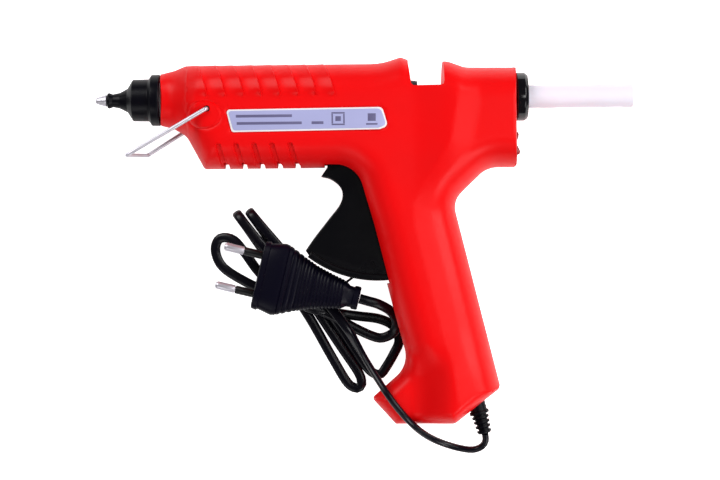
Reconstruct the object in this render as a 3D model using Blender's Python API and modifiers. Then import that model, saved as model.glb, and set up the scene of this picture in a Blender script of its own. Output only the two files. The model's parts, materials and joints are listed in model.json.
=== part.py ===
"""Hot-melt glue gun lying on its right side, as an assembly of separate parts.

Frame: +X points to the rear, along the glue stick. +Y is the gun's top, +Z its left side, and z = 0 is the
table. The two housing halves meet at z = MID. Sizes are in millimetres, and every mesh is scaled to metres.
"""
import math

import bmesh
import bpy
import numpy as np
from mathutils import Matrix, Vector
from mathutils.geometry import delaunay_2d_cdt

MM = 0.001
GAP = 0.3                     # clearance between neighbouring pieces
MID = 22.5                    # height of the parting plane above the table
AXIS_Y = 68.5                 # height of the glue stick's axis above the origin, along Y
WALL = 2.4                    # housing wall
REAR_HALF, BARREL_HALF, COLLAR_HALF = 22.5, 19.5, 12.4
HANDLE_HALF, TOE_HALF = 20.5, 11.5
STICK_R, STICK_START, STICK_END = 5.6, -12.0, 128.8
COLLAR_X, REAR_X = -97.5, 72.3
NOTCH_LEFT, NOTCH_RIGHT, NOTCH_FLOOR = 21.8, 37.6, 73.1
NOTCH_WALL = 2.2
TRIGGER_PIVOT = (6.0, 36.0)
TRIGGER_RIM = 55.0            # radius of the trigger's lower rim about its pivot
TRIGGER_HALF, RIM_HALF, OPENING_HALF = 7.2, 8.2, 9.0
ARM_IN, ARM_OUT = 9.6, 12.4   # the trigger's two arms, distance from the parting plane
LINK_FRONT, LINK_REAR = (22.0, 64.0), (61.0, 61.5)
LINK_IN, LINK_OUT = 12.9, 14.5
GRIP_PIVOT = (50.5, 57.5)
STAND_PIVOT = (-74.3, 63.0)
STAND_WIRE = 2.0
STAND_Z = 21.4
SCREWS = ((-66.0, 42.0), (-28.0, 42.0), (40.0, 46.0), (34.0, -36.0), (24.0, -74.0))
BOSS_R, SCREW_R, SCREW_HEAD_R = 3.4, 1.45, 2.7
SWITCH_Y = 45.8
CORD_D = 4.4
RELIEF_AT, RELIEF_WAY = (53.0, -80.5), (0.248, -0.969)
PLUG_AT, PLUG_TURN, PLUG_Z = (-52.0, -15.6), -14.0, 19.4
PIN_SPREAD, PIN_R, PIN_LONG = 9.5, 2.0, 19.0
HANK_TOP = 11.2
BOUNDARY_STEP, GRID_STEP = 9.0, 9.0    # spacing of the side shell's points on its outline and inside
VENT_START, VENT_PITCH, VENT_WIDE = -67.2, 8.45, 2.6

SIDE, FLAT, FOOT, TOE = "side", "flat", "foot", "toe"
EDGE_ROUND = {SIDE: 15.0, FLAT: 1.6, FOOT: 7.0, TOE: 8.0}

# Corner x, corner y, fillet radius, and the kind of the edge that follows, clockwise from the collar's top.
HOUSING = (
    (COLLAR_X, 80.9, 0.5, SIDE), (-90.5, 82.6, 6.0, SIDE), (-85.5, 84.7, 5.0, SIDE), (8.0, 84.8, 30.0, SIDE),
    (17.4, 87.9, 3.0, SIDE), (22.5, 86.0, 2.0, SIDE), (40.0, 85.6, 8.0, SIDE), (48.0, 82.7, 12.0, SIDE),
    (REAR_X, 82.5, 2.6, FLAT), (REAR_X, 34.7, 2.6, SIDE), (58.4, 34.7, 13.0, SIDE), (41.9, 18.8, 10.0, SIDE),
    (63.9, -70.8, 3.4, FOOT), (41.6, -87.8, 4.0, FOOT), (13.4, -87.8, 1.2, TOE), (2.2, -75.3, 1.6, TOE),
    (20.2, -59.6, 13.0, SIDE), (13.4, -34.5, 60.0, SIDE), (3.0, 7.2, 60.0, SIDE), (-5.3, 35.3, 12.0, SIDE),
    (-76.9, 35.1, 2.0, SIDE), (-85.4, 51.0, 8.0, SIDE), (-92.0, 54.9, 6.0, SIDE), (COLLAR_X, 56.1, 0.5, FLAT),
)

NOZZLE = ((-128.8, 0.8), (-128.8, 1.3), (-127.2, 2.3), (-123.7, 2.6), (-123.6, 2.2), (-116.6, 2.2),
          (-113.6, 4.4), (-109.0, 4.4), (-109.0, 7.4), (-104.2, 7.4), (-104.2, 4.6), (-96.0, 4.6),
          (-96.0, 0.8))
CAP = ((-123.3, 2.6), (-123.3, 3.5), (-122.3, 3.8), (-120.6, 3.1), (-117.3, 3.8), (-113.6, 5.7),
       (-110.9, 10.0), (-103.3, 10.15), (-101.9, 12.25), (-97.8, 12.3), (-97.8, 9.2), (-110.3, 9.2),
       (-114.4, 4.8), (-116.9, 2.6))
CHAMBER = ((-103.6, 4.95), (-103.6, 8.7), (-97.0, 8.7), (-95.0, 9.8), (-22.0, 9.8), (-22.0, 7.0),
           (-14.0, 7.0), (-14.0, 5.95), (-82.0, 5.95), (-90.0, 1.6), (-95.4, 1.6), (-95.4, 4.95))
SLEEVE = ((-21.6, 7.3), (-21.6, 8.5), (22.0, 8.5), (25.3, 8.0), (25.3, 5.95), (-13.6, 5.95), (-13.6, 7.3))
RING = ((67.4, 6.3), (67.4, 10.8), (69.6, 10.8), (69.6, 8.7), (72.6, 8.7), (72.6, 11.6), (76.6, 11.6),
        (78.2, 10.4), (78.2, 6.3))
RELIEF = ((-8.8, 2.5), (-8.8, 5.4), (-6.8, 5.4), (-6.8, 4.0), (1.6, 4.0), (1.6, 4.7), (3.2, 4.7), (3.6, 3.7),
          (12.6, 3.1), (12.6, 2.5))

# The lead from the strain relief, round below the foot, over the toe and down to the hank.
LEAD = (
    (56.25, -93.1, 22.5), (56.5, -96.6, 21.9), (54.4, -99.6, 20.8), (50.0, -101.0, 19.6), (44.0, -100.2, 18.8),
    (37.5, -98.2, 19.6), (31.2, -95.3, 22.8), (25.6, -91.4, 28.2), (20.4, -86.4, 34.0),
    (14.8, -79.9, 36.7), (9.3, -72.4, 36.4), (4.0, -64.3, 31.5), (-1.0, -56.2, 25.2), (-5.0, -49.6, 19.4),
    (-8.6, -43.6, 14.8),
)
# The outer shape of the hank, with its side loops: corner x, y and fillet.
HANK = (
    (-66.0, 16.5, 8.0), (-48.0, 16.5, 9.0), (-2.0, -17.0, 40.0), (17.0, -42.0, 9.0), (16.5, -56.0, 9.0),
    (2.0, -73.0, 8.0), (-10.0, -78.0, 7.0), (-55.0, -22.5, 14.0), (-76.5, -11.0, 9.0),
)


def collection(name):
    """A new collection in the scene."""
    made = bpy.data.collections.new(name)
    bpy.context.scene.collection.children.link(made)
    return made


def clear_scene():
    """Remove every object and collection of the open file."""
    for obj in list(bpy.data.objects):
        bpy.data.objects.remove(obj, do_unlink=True)
    for group in list(bpy.data.collections):
        bpy.data.collections.remove(group)


def material(name, colour, roughness, metallic=0.0):
    """A Principled material in one colour."""
    made = bpy.data.materials.new(name)
    made.use_nodes = True
    shader = made.node_tree.nodes["Principled BSDF"]
    shader.inputs["Base Color"].default_value = (*colour, 1.0)
    shader.inputs["Roughness"].default_value = roughness
    shader.inputs["Metallic"].default_value = metallic
    return made


def place(name, data, look=None):
    """An object in the part's collection, or among the cutters when it has no material."""
    obj = bpy.data.objects.new(name, data)
    if look is None:
        cutters.objects.link(obj)
        obj.hide_render = True
        obj.display_type = 'WIRE'
    else:
        parts.objects.link(obj)
        obj.data.materials.append(look)
    return obj


def on_joint(obj, pivot):
    """Move an object's origin to a point given in millimetres, with its shape left where it is."""
    point = Vector(pivot) * MM
    obj.data.transform(Matrix.Translation(-point))
    obj.location = point
    return obj


def smooth(mesh, degrees=32.0):
    """Shade a mesh smooth with its sharp edges kept."""
    mesh.shade_smooth()
    mesh.set_sharp_from_angle(angle=math.radians(degrees))
    return mesh


def boolean(obj, other, operation='DIFFERENCE'):
    """Cut an object by another, or join the other to it."""
    step = obj.modifiers.new(other.name, 'BOOLEAN')
    step.operation = operation
    step.solver = 'EXACT'
    step.object = other
    return obj


def mesh_of(name, body):
    """A mesh made from a bmesh in millimetres."""
    bmesh.ops.scale(body, vec=(MM, MM, MM), verts=body.verts)
    mesh = bpy.data.meshes.new(name)
    body.to_mesh(mesh)
    body.free()
    return mesh


def box(name, low, high, look=None, bevel=0.0):
    """A box between two corners, with rounded edges when bevel is set."""
    body = bmesh.new()
    bmesh.ops.create_cube(body, size=1.0)
    size = [b - a for a, b in zip(low, high)]
    middle = [(a + b) / 2 for a, b in zip(low, high)]
    bmesh.ops.scale(body, vec=size, verts=body.verts)
    bmesh.ops.translate(body, vec=middle, verts=body.verts)
    obj = place(name, mesh_of(name, body), look)
    if bevel:
        edge = obj.modifiers.new("edges", 'BEVEL')
        edge.width = bevel * MM
        edge.segments = 2
    return obj


def cylinder(name, start, end, radius, look=None, sides=20):
    """A cylinder between two points."""
    start, end = Vector(start), Vector(end)
    body = bmesh.new()
    turn = (end - start).to_track_quat('Z', 'Y').to_matrix().to_4x4()
    bmesh.ops.create_cone(body, cap_ends=True, segments=sides, radius1=radius, radius2=radius,
                          depth=(end - start).length,
                          matrix=Matrix.Translation((start + end) / 2) @ turn)
    obj = place(name, mesh_of(name, body), look)
    smooth(obj.data)
    return obj


def turned(name, profile, look=None, at=(0.0, AXIS_Y, MID), way=(1.0, 0.0, 0.0), steps=24):
    """A ring-shaped solid turned from a closed profile of (distance along way, radius)."""
    mesh = bpy.data.meshes.new(name)
    points = [(radius * MM, 0.0, along * MM) for along, radius in reversed(profile)]
    count = len(points)
    mesh.from_pydata(points, [(i, (i + 1) % count) for i in range(count)], [])
    obj = place(name, mesh, look)
    obj.location = Vector(at) * MM
    obj.rotation_euler = Vector(way).to_track_quat('Z', 'Y').to_euler()
    spin = obj.modifiers.new("turn", 'SCREW')
    spin.steps = steps
    spin.render_steps = steps
    spin.use_merge_vertices = True
    spin.merge_threshold = 0.00001
    return obj


def rod(name, points, diameter, look, resolution=2):
    """A wire along straight stretches between points."""
    curve = bpy.data.curves.new(name, 'CURVE')
    curve.dimensions = '3D'
    curve.bevel_depth = diameter / 2 * MM
    curve.bevel_resolution = resolution
    curve.use_fill_caps = True
    line = curve.splines.new('POLY')
    line.points.add(len(points) - 1)
    for knot, point in zip(line.points, points):
        knot.co = (*(value * MM for value in point), 1.0)
    return place(name, curve, look)


def smooth_path(knots, spacing):
    """Points about spacing apart on a Catmull-Rom curve through the knots."""
    knots = [Vector(k) for k in knots]
    ends = [2 * knots[0] - knots[1], *knots, 2 * knots[-1] - knots[-2]]
    dense = []
    for a, b, c, d in zip(ends, ends[1:], ends[2:], ends[3:]):
        for step in range(20):
            t = step / 20
            dense.append(0.5 * (2 * b + (c - a) * t + (2 * a - 5 * b + 4 * c - d) * t * t
                                + (3 * b - a - 3 * c + d) * t ** 3))
    dense.append(knots[-1])
    kept = [dense[0]]
    for point in dense[1:-1]:
        if (point - kept[-1]).length >= spacing and (point - dense[-1]).length > spacing / 2:
            kept.append(point)
    return [*kept, dense[-1]]


def fillet(corners, most_turn=20.0):
    """Points of a closed outline with each corner rounded.

    Corners are (x, y, radius) with anything after that kept, and each point comes with its corner's index
    and how far round that corner it is, from 0 to 1."""
    points = []
    count = len(corners)
    for i, corner in enumerate(corners):
        here = Vector(corner[:2])
        back = (Vector(corners[i - 1][:2]) - here)
        ahead = (Vector(corners[(i + 1) % count][:2]) - here)
        half = back.angle(ahead) / 2
        reach = min(corner[2] / math.tan(half), 0.49 * back.length, 0.49 * ahead.length)
        radius = reach * math.tan(half)
        first, last = here + back.normalized() * reach, here + ahead.normalized() * reach
        turn = math.pi - 2 * half
        steps = max(1, math.ceil(math.degrees(turn) / most_turn))
        centre = here + (back.normalized() + ahead.normalized()).normalized() * (radius / math.sin(half))
        start, stop = first - centre, last - centre
        sweep = math.atan2(start.x * stop.y - start.y * stop.x, start.dot(stop))
        for k in range(steps + 1):
            angle = sweep * k / steps
            spoke = Vector((start.x * math.cos(angle) - start.y * math.sin(angle),
                            start.x * math.sin(angle) + start.y * math.cos(angle)))
            points.append((centre + spoke, i, k / steps))
    return points


def plate(name, outline, low, high, look=None, bevel=0.0):
    """A flat piece with the given outline, between two heights over the table."""
    curve = bpy.data.curves.new(name, 'CURVE')
    curve.dimensions = '2D'
    curve.fill_mode = 'BOTH'
    curve.extrude = (high - low) / 2 * MM
    line = curve.splines.new('POLY')
    line.points.add(len(outline) - 1)
    line.use_cyclic_u = True
    for knot, point in zip(line.points, outline):
        knot.co = (point[0] * MM, point[1] * MM, 0.0, 1.0)
    flat = place(name + "_outline", curve)
    flat.location.z = (low + high) / 2 * MM
    bpy.context.view_layer.update()
    mesh = bpy.data.meshes.new_from_object(flat.evaluated_get(bpy.context.evaluated_depsgraph_get()))
    mesh.transform(flat.matrix_world)
    body = bmesh.new()
    body.from_mesh(mesh)
    bmesh.ops.remove_doubles(body, verts=body.verts, dist=0.000005)
    bmesh.ops.dissolve_limit(body, angle_limit=math.radians(0.5), verts=body.verts, edges=body.edges)
    bmesh.ops.recalc_face_normals(body, faces=body.faces)
    body.to_mesh(mesh)
    body.free()
    bpy.data.objects.remove(flat, do_unlink=True)
    obj = place(name, mesh, look)
    if bevel:
        edge = obj.modifiers.new("edges", 'BEVEL')
        edge.width = bevel * MM
        edge.segments = 2
        edge.limit_method = 'ANGLE'
        edge.angle_limit = math.radians(50)
    return obj


def capsule(start, end, radius, radius_end=None, sides=8):
    """The outline of a bar with round ends."""
    radius_end = radius if radius_end is None else radius_end
    start, end = Vector(start), Vector(end)
    heading = math.atan2(end.y - start.y, end.x - start.x)
    points = []
    for centre, size, first in ((start, radius, heading + math.pi / 2), (end, radius_end, heading - math.pi / 2)):
        for k in range(sides + 1):
            angle = first + math.pi * k / sides
            points.append(centre + Vector((math.cos(angle), math.sin(angle))) * size)
    return points


def ramp(value, start, end):
    """0 before start, 1 after end, and a smooth step between."""
    t = np.clip((value - start) / (end - start), 0.0, 1.0)
    return t * t * (3 - 2 * t)


def half_width(x, y):
    """How far the housing's flat side stands from the parting plane."""
    barrel = BARREL_HALF + (REAR_HALF - BARREL_HALF) * ramp(x, 22.0, 44.0)
    barrel = barrel - (BARREL_HALF - COLLAR_HALF) * ramp(-x, 78.0, 94.0)
    foot = HANDLE_HALF + (REAR_HALF - HANDLE_HALF) * ramp(-y, 40.0, 66.0) * ramp(x, 24.0, 40.0)
    foot = foot - (HANDLE_HALF - TOE_HALF) * ramp(-x, -36.0, -22.0) * ramp(-y, 50.0, 64.0)
    blend = ramp(-y, -34.0, -2.0)
    return barrel * (1 - blend) + foot * blend


def edge_round(kind, x):
    """The radius that rounds an edge of the housing into its flat side."""
    if kind != SIDE:
        return np.full_like(x, EDGE_ROUND[kind])
    return EDGE_ROUND[SIDE] - (EDGE_ROUND[SIDE] - COLLAR_HALF) * ramp(-x, 80.0, 94.0)


def inset(corners, depth):
    """Corners of the outline moved inwards by depth, for a clockwise outline."""
    moved = []
    count = len(corners)
    for i, corner in enumerate(corners):
        here = Vector(corner[:2])
        before = (here - Vector(corners[i - 1][:2])).normalized()
        after = (Vector(corners[(i + 1) % count][:2]) - here).normalized()
        turn = before.x * after.y - before.y * after.x
        inward = Vector((before.y + after.y, -before.x - after.x)).normalized()
        shift = depth / math.cos(before.angle(after) / 2)
        radius = corner[2] + depth if turn > 0 else max(corner[2] - depth, 0.4)
        moved.append((*(here + inward * shift), radius, corner[3]))
    return moved


def relief_height(points, outline, kinds, width_less, round_less):
    """Height of the housing's side over the parting plane at each point."""
    x, y = points[:, 0], points[:, 1]
    width = half_width(x, y) - width_less
    height = width.copy()
    for k, kind in enumerate(kinds):
        a, b = outline[k], outline[(k + 1) % len(outline)]
        along = b - a
        t = np.clip(((points - a) @ along) / max(along @ along, 1e-9), 0, 1)
        distance = np.linalg.norm(points - a - t[:, None] * along, axis=1)
        reach = np.maximum(edge_round(kind, x) - round_less, 0.5)
        u = np.clip(distance / reach, 0, 1)
        height = np.minimum(height, width * (1 - (1 - u) ** 2.2) ** (1 / 2.2))
    return height


def side_shell(name, corners, side, base, width_less=0.0, round_less=0.0, look=None):
    """The solid between the parting plane and one rounded side of the housing."""
    rounded = fillet(corners, 24.0)
    outline, kinds = [], []
    order = {FLAT: 0, TOE: 1, FOOT: 2, SIDE: 3}
    for k, (point, i, share) in enumerate(rounded):
        following = rounded[(k + 1) % len(rounded)][0]
        kind = corners[i][3] if share == 1 else min(corners[i - 1][3], corners[i][3], key=order.get)
        pieces = max(1, round((following - point).length / BOUNDARY_STEP))
        for piece in range(pieces):
            spot = point.lerp(following, piece / pieces)
            if not outline or (Vector(outline[-1]) - spot).length > 0.05:
                outline.append(tuple(spot))
                kinds.append(kind)
    outline = np.array(outline)
    count = len(outline)
    tangent = np.roll(outline, -1, 0) - np.roll(outline, 1, 0)
    normal = np.stack([tangent[:, 1], -tangent[:, 0]], 1) / np.linalg.norm(tangent, axis=1)[:, None]
    flat_points = [tuple(p) for p in outline]

    def off_edge(spots):
        best = np.full(len(spots), 1e9)
        for k in range(count):
            a, b = outline[k], outline[(k + 1) % count]
            along = b - a
            t = np.clip(((spots - a) @ along) / (along @ along), 0, 1)
            best = np.minimum(best, np.linalg.norm(spots - a - t[:, None] * along, axis=1))
        return best

    def inside(spots):
        odd = np.zeros(len(spots), bool)
        for k in range(count):
            (ax, ay), (bx, by) = outline[k], outline[(k + 1) % count]
            crosses = (ay > spots[:, 1]) != (by > spots[:, 1])
            at = ax + (spots[:, 1] - ay) / (by - ay if by != ay else 1e-9) * (bx - ax)
            odd ^= crosses & (spots[:, 0] < at)
        return odd

    rings = [math.radians(angle) for angle in (22, 45, 68, 90)]
    reaches = np.array([max(edge_round(kind, np.array([p[0]]))[0] - round_less, 0.5)
                        for kind, p in zip(kinds, outline)])
    groups = [outline + normal * (reaches * (1 - math.cos(a)))[:, None] for a in rings]
    groups.append(np.array([(x, y) for x in np.arange(-130.0, 130.0, GRID_STEP)
                            for y in np.arange(-95.0, 95.0, GRID_STEP)]))
    taken = np.array(flat_points)
    lines = []
    for number, group in enumerate(groups):
        on_ring = number < len(rings)
        depth = reaches * (1 - math.cos(rings[number])) if on_ring else 4.0
        nearest = np.clip(0.22 * reaches, 0.08, 3.0) if on_ring else np.full(len(group), 3.6)
        fits = inside(group) & (off_edge(group) > 0.93 * depth)
        last = None
        for spot, near in zip(group[fits], nearest[fits]):
            if np.min(np.linalg.norm(taken[count:] - spot, axis=1), initial=1e9) <= near:
                continue
            taken = np.vstack([taken, spot])
            here = len(taken) - 1
            if on_ring and last is not None and np.linalg.norm(taken[last] - spot) < 1.3 * BOUNDARY_STEP:
                lines.append((last, here))
            last = here
    flat = [Vector(p) for p in taken]
    found, _, faces, origin, _, _ = delaunay_2d_cdt(flat, lines, [list(range(count))], 1, 1e-6)
    spots = np.array([tuple(v) for v in found])
    heights = relief_height(spots, outline, kinds, width_less, round_less)
    rim = {i for i, source in enumerate(origin) if any(s < count for s in source)}
    body = bmesh.new()
    verts = []
    for i, (x, y) in enumerate(spots):
        z = GAP / 2 if i in rim else max(heights[i], GAP / 2 + 0.05)
        verts.append(body.verts.new((x, y, MID + side * z)))
    for face in faces:
        body.faces.new([verts[i] for i in face])
    edges = [edge for edge in body.edges if len(edge.link_faces) == 1]
    if base < 0:
        grown = bmesh.ops.extrude_edge_only(body, edges=edges)["geom"]
        lower = [item for item in grown if isinstance(item, bmesh.types.BMVert)]
        bmesh.ops.translate(body, vec=(0, 0, side * base), verts=lower)
        edges = [edge for edge in body.edges if len(edge.link_faces) == 1]
    bmesh.ops.edgeloop_fill(body, edges=edges)
    bmesh.ops.recalc_face_normals(body, faces=body.faces)
    obj = place(name, mesh_of(name, body), look)
    smooth(obj.data, 40)
    return obj


def both_sides(x, y, low, high, side):
    """Two points on a line across the gun, at distances from the parting plane."""
    return (x, y, MID + side * low), (x, y, MID + side * high)


def housing_half(name, side, look, notch_cut, passages):
    """One half of the housing: a hollow shell with bosses, a notch, and holes for what passes through."""
    shell = side_shell(name, HOUSING, side, 0.0, look=look)
    hollow = side_shell(name + "_hollow", inset(HOUSING, WALL), side, -3.0, WALL, WALL)
    for number, (x, y) in enumerate(SCREWS):
        boolean(hollow, cylinder(f"{name}_boss_{number}", *both_sides(x, y, -4, 30, side), BOSS_R, sides=16))
    boolean(hollow, cylinder(name + "_pivot_boss", *both_sides(*TRIGGER_PIVOT, ARM_OUT + 0.4, 30, side), 3.4,
                             sides=16))
    notch_keep = box(name + "_notch_walls", (NOTCH_LEFT - NOTCH_WALL, NOTCH_FLOOR - NOTCH_WALL, -5),
                     (NOTCH_RIGHT + NOTCH_WALL, 95, 50))
    boolean(hollow, notch_keep)
    for number, x in enumerate((-90.0, -26.0)):
        boolean(hollow, box(f"{name}_saddle_{number}", (x, 52, -5), (x + 2.0, 90, 50)))
    boolean(shell, hollow)
    boolean(shell, notch_cut)
    for cutter in passages:
        boolean(shell, cutter)
    boolean(shell, cylinder(name + "_pivot_hole", *both_sides(*TRIGGER_PIVOT, -1, 17.6, side), 2.0 + GAP))
    boolean(shell, cylinder(name + "_stand_hole", *both_sides(*STAND_PIVOT, 12, 25, side), 1.4, sides=12))
    for number, (x, y) in enumerate(SCREWS):
        if side > 0:
            hole = cylinder(f"{name}_screw_hole_{number}", *both_sides(x, y, -1, 11.0, side), SCREW_R + GAP,
                            sides=12)
            boolean(shell, hole)
        else:
            hole = cylinder(f"{name}_screw_hole_{number}", *both_sides(x, y, -1, 30, side), SCREW_R + GAP,
                            sides=12)
            sink = cylinder(f"{name}_screw_sink_{number}", *both_sides(x, y, 6.0, 30, side),
                            SCREW_HEAD_R + GAP, sides=16)
            boolean(boolean(shell, hole), sink)
    return shell


def housing_cutters():
    """The refill notch, and the passages cut through both halves of the housing."""
    notch_cut = box("notch_cut", (NOTCH_LEFT, NOTCH_FLOOR, -5), (NOTCH_RIGHT, 95, 50))

    def bore(name, start, end, radius, sides=24):
        return cylinder(name, (start, AXIS_Y, MID), (end, AXIS_Y, MID), radius, sides=sides)

    opening = [(-19.4, 25.0), (-19.4, 40.2), (-2.0, 40.2), (4.0, 31.0), (13.0, -10.0), (15.0, -20.5),
               (-2.0, -20.5), (-6.0, 10.0)]
    passages = [
        bore("nozzle_passage", -100, -90, 10.2), bore("chamber_passage", -94.9, -14, 10.3),
        box("pocket_passage", (-76, 44.0, MID - 9.2), (-14, AXIS_Y, MID + 9.2)),
        bore("sleeve_passage", -20, 25.7, 8.5 + GAP), bore("stick_passage", 18, 71, STICK_R + 0.6),
        bore("ring_passage", 67, 75, 8.7 + GAP), bore("ring_flange_room", 66, 69.9, 10.8 + GAP),
        box("switch_opening", (66, SWITCH_Y - 6.9, MID - 8.5), (75, SWITCH_Y + 6.9, MID + 8.5)),
        cylinder("relief_opening", (51.5, -74.7, MID), (55.2, -89.1, MID), 4.0 + GAP),
        plate("trigger_opening", opening[::-1], MID - OPENING_HALF, MID + OPENING_HALF),
    ]
    for number in range(5):
        left = VENT_START + VENT_PITCH * number
        passages.append(box(f"vent_{number}", (left, 33.0, MID - 10.0), (left + VENT_WIDE, 38.4, MID + 10.0)))
    return notch_cut, passages


def housing(looks):
    """Both halves, their screws and the label on the left side."""
    notch_cut, passages = housing_cutters()
    housing_half("left_housing", 1, looks["red"], notch_cut, passages)
    housing_half("right_housing", -1, looks["red"], notch_cut, passages)
    for number, (x, y) in enumerate(SCREWS, 1):
        head = ((-9.6, 0.0), (-9.6, 1.6), (-8.9, 2.5), (-6.4, 2.7), (-6.4, SCREW_R), (9.0, SCREW_R),
                (10.5, 0.3), (10.5, 0.0))
        solid_of_revolution(f"housing_screw_{number}", head, looks["steel"], (x, y, MID), (0, 0, 1), 12)
    z = MID + BARREL_HALF + GAP
    label = [spot for spot, _, _ in fillet(
        ((-62.7, 62.3, 2.0), (8.3, 63.0, 2.5), (10.9, 54.0, 3.0), (7.0, 52.5, 2.0), (-61.0, 51.8, 2.0)))]
    plate("label", label, z, z + 0.4, looks["label"])


def solid_of_revolution(name, profile, look, at, way, steps):
    """A solid turned from a profile that starts and ends on its axis."""
    mesh = bpy.data.meshes.new(name)
    points = [(radius * MM, 0.0, along * MM) for along, radius in reversed(profile)]
    mesh.from_pydata(points, [(i, i + 1) for i in range(len(points) - 1)], [])
    obj = place(name, mesh, look)
    obj.location = Vector(at) * MM
    obj.rotation_euler = Vector(way).to_track_quat('Z', 'Y').to_euler()
    spin = obj.modifiers.new("turn", 'SCREW')
    spin.steps = steps
    spin.render_steps = steps
    spin.use_merge_vertices = True
    spin.merge_threshold = 0.00001
    return obj


def melt_parts(looks):
    """The nozzle, its cap, the heated chamber with its heater, and the inlet sleeve."""
    turned("nozzle_tip", NOZZLE, looks["steel"], steps=24)
    turned("nozzle_cap", CAP, looks["black"])
    chamber = turned("melt_chamber", CHAMBER, looks["aluminium"])
    pocket = box("heater_pocket", (-74.0, 47.0, MID - 8.5), (-36.0, 61.5, MID + 8.5))
    slot = box("heater_slot", (-71.0, 50.0, MID - 6.5), (-35.0, 56.0, MID + 6.5))
    boolean(boolean(chamber, pocket, 'UNION'), slot)
    box("heater_element", (-70.5, 50.4, MID - 6.1), (-37.0, 55.6, MID + 6.1), looks["ceramic"], 0.4)
    turned("inlet_sleeve", SLEEVE, looks["black"])
    turned("sleeve_clamp", ((-18.6, 8.8), (-18.6, 9.6), (-15.8, 9.6), (-15.8, 8.8)), looks["steel"])
    for name, side in (("heater_lead_left", 1), ("heater_lead_right", -1)):
        route = ((-35.4, 53.0, 3.0), (-31.0, 50.5, 9.0), (-22.0, 48.0, 13.6), (0.0, 47.5, 14.0),
                 (20.0, 45.0, 14.0), (31.0, 34.0, 12.0), (35.5, 18.0, 8.0), (40.0, -5.0, 4.0),
                 (44.0, -25.0, 3.0), (47.5, -42.0, 3.0), (48.5, -50.4, 3.0))
        path = smooth_path([(x, y, MID + side * z) for x, y, z in route], 6.0)
        rod(name, path, 1.8, looks["lead"])


def trigger_parts(looks):
    """The trigger with its fork arms, its pins and its spring."""
    px, py = TRIGGER_PIVOT
    first, last = math.radians(-128.0), math.radians(-82.2)

    def arc(radius, start, end):
        angles = [start + (end - start) * k / 9 for k in range(10)]
        return [(px + radius * math.cos(a), py + radius * math.sin(a)) for a in angles]

    front = [(-17.6, 41.0), (-18.1, 35.2), (-21.0, 31.0), (-16.5, 29.7), (-12.3, 26.3), (-10.9, 22.1),
             (-12.4, 17.2), (-17.3, 10.9), (-24.5, 1.8), (-28.8, -4.3)]
    back = [(13.0, 10.0), (12.2, 34.0), (6.0, 41.0)]
    body = [*front, *arc(TRIGGER_RIM - 0.8, first + 0.01, last - 0.01), *back]
    trigger = plate("trigger", body[::-1], MID - TRIGGER_HALF, MID + TRIGGER_HALF, looks["black"])
    lip = plate("trigger_lip", [*arc(TRIGGER_RIM, first, last), *arc(TRIGGER_RIM - 3.3, last, first)],
                MID - RIM_HALF, MID + RIM_HALF)
    hub = cylinder("trigger_hub", (px, py, MID - ARM_OUT), (px, py, MID + ARM_OUT), 6.0)
    boolean(boolean(trigger, lip, 'UNION'), hub, 'UNION')
    for side in (1, -1):
        low, high = sorted((MID + side * ARM_IN, MID + side * ARM_OUT))
        arm = plate(f"trigger_arm_{side}", capsule(TRIGGER_PIVOT, LINK_FRONT, 5.0, 3.8), low, high)
        boolean(trigger, arm, 'UNION')
        boolean(trigger, cylinder(f"link_bore_{side}", *both_sides(*LINK_FRONT, 8, 20, side), 2.1, sides=16))
    boolean(trigger, cylinder("trigger_bore", (px, py, MID - 20), (px, py, MID + 20), 2.0 + GAP))
    cylinder("trigger_pin", (px, py, MID - 17.2), (px, py, MID + 17.2), 2.0, looks["steel"], 16)
    for name, side in (("link_pin_left", 1), ("link_pin_right", -1)):
        cylinder(name, *both_sides(*LINK_FRONT, 9.4, 15.2, side), 1.8, looks["steel"], 12)
    turns, radius = 1.25, 4.2
    coil = [(px + radius * math.cos(k * math.pi / 6), py + radius * math.sin(k * math.pi / 6),
             MID + 12.9 + 1.1 * k / 12) for k in range(round(turns * 12) + 1)]
    rod("trigger_spring", [*coil, (px + 8.0, py + radius, MID + 14.3)], 0.8, looks["steel"], 1)


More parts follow.
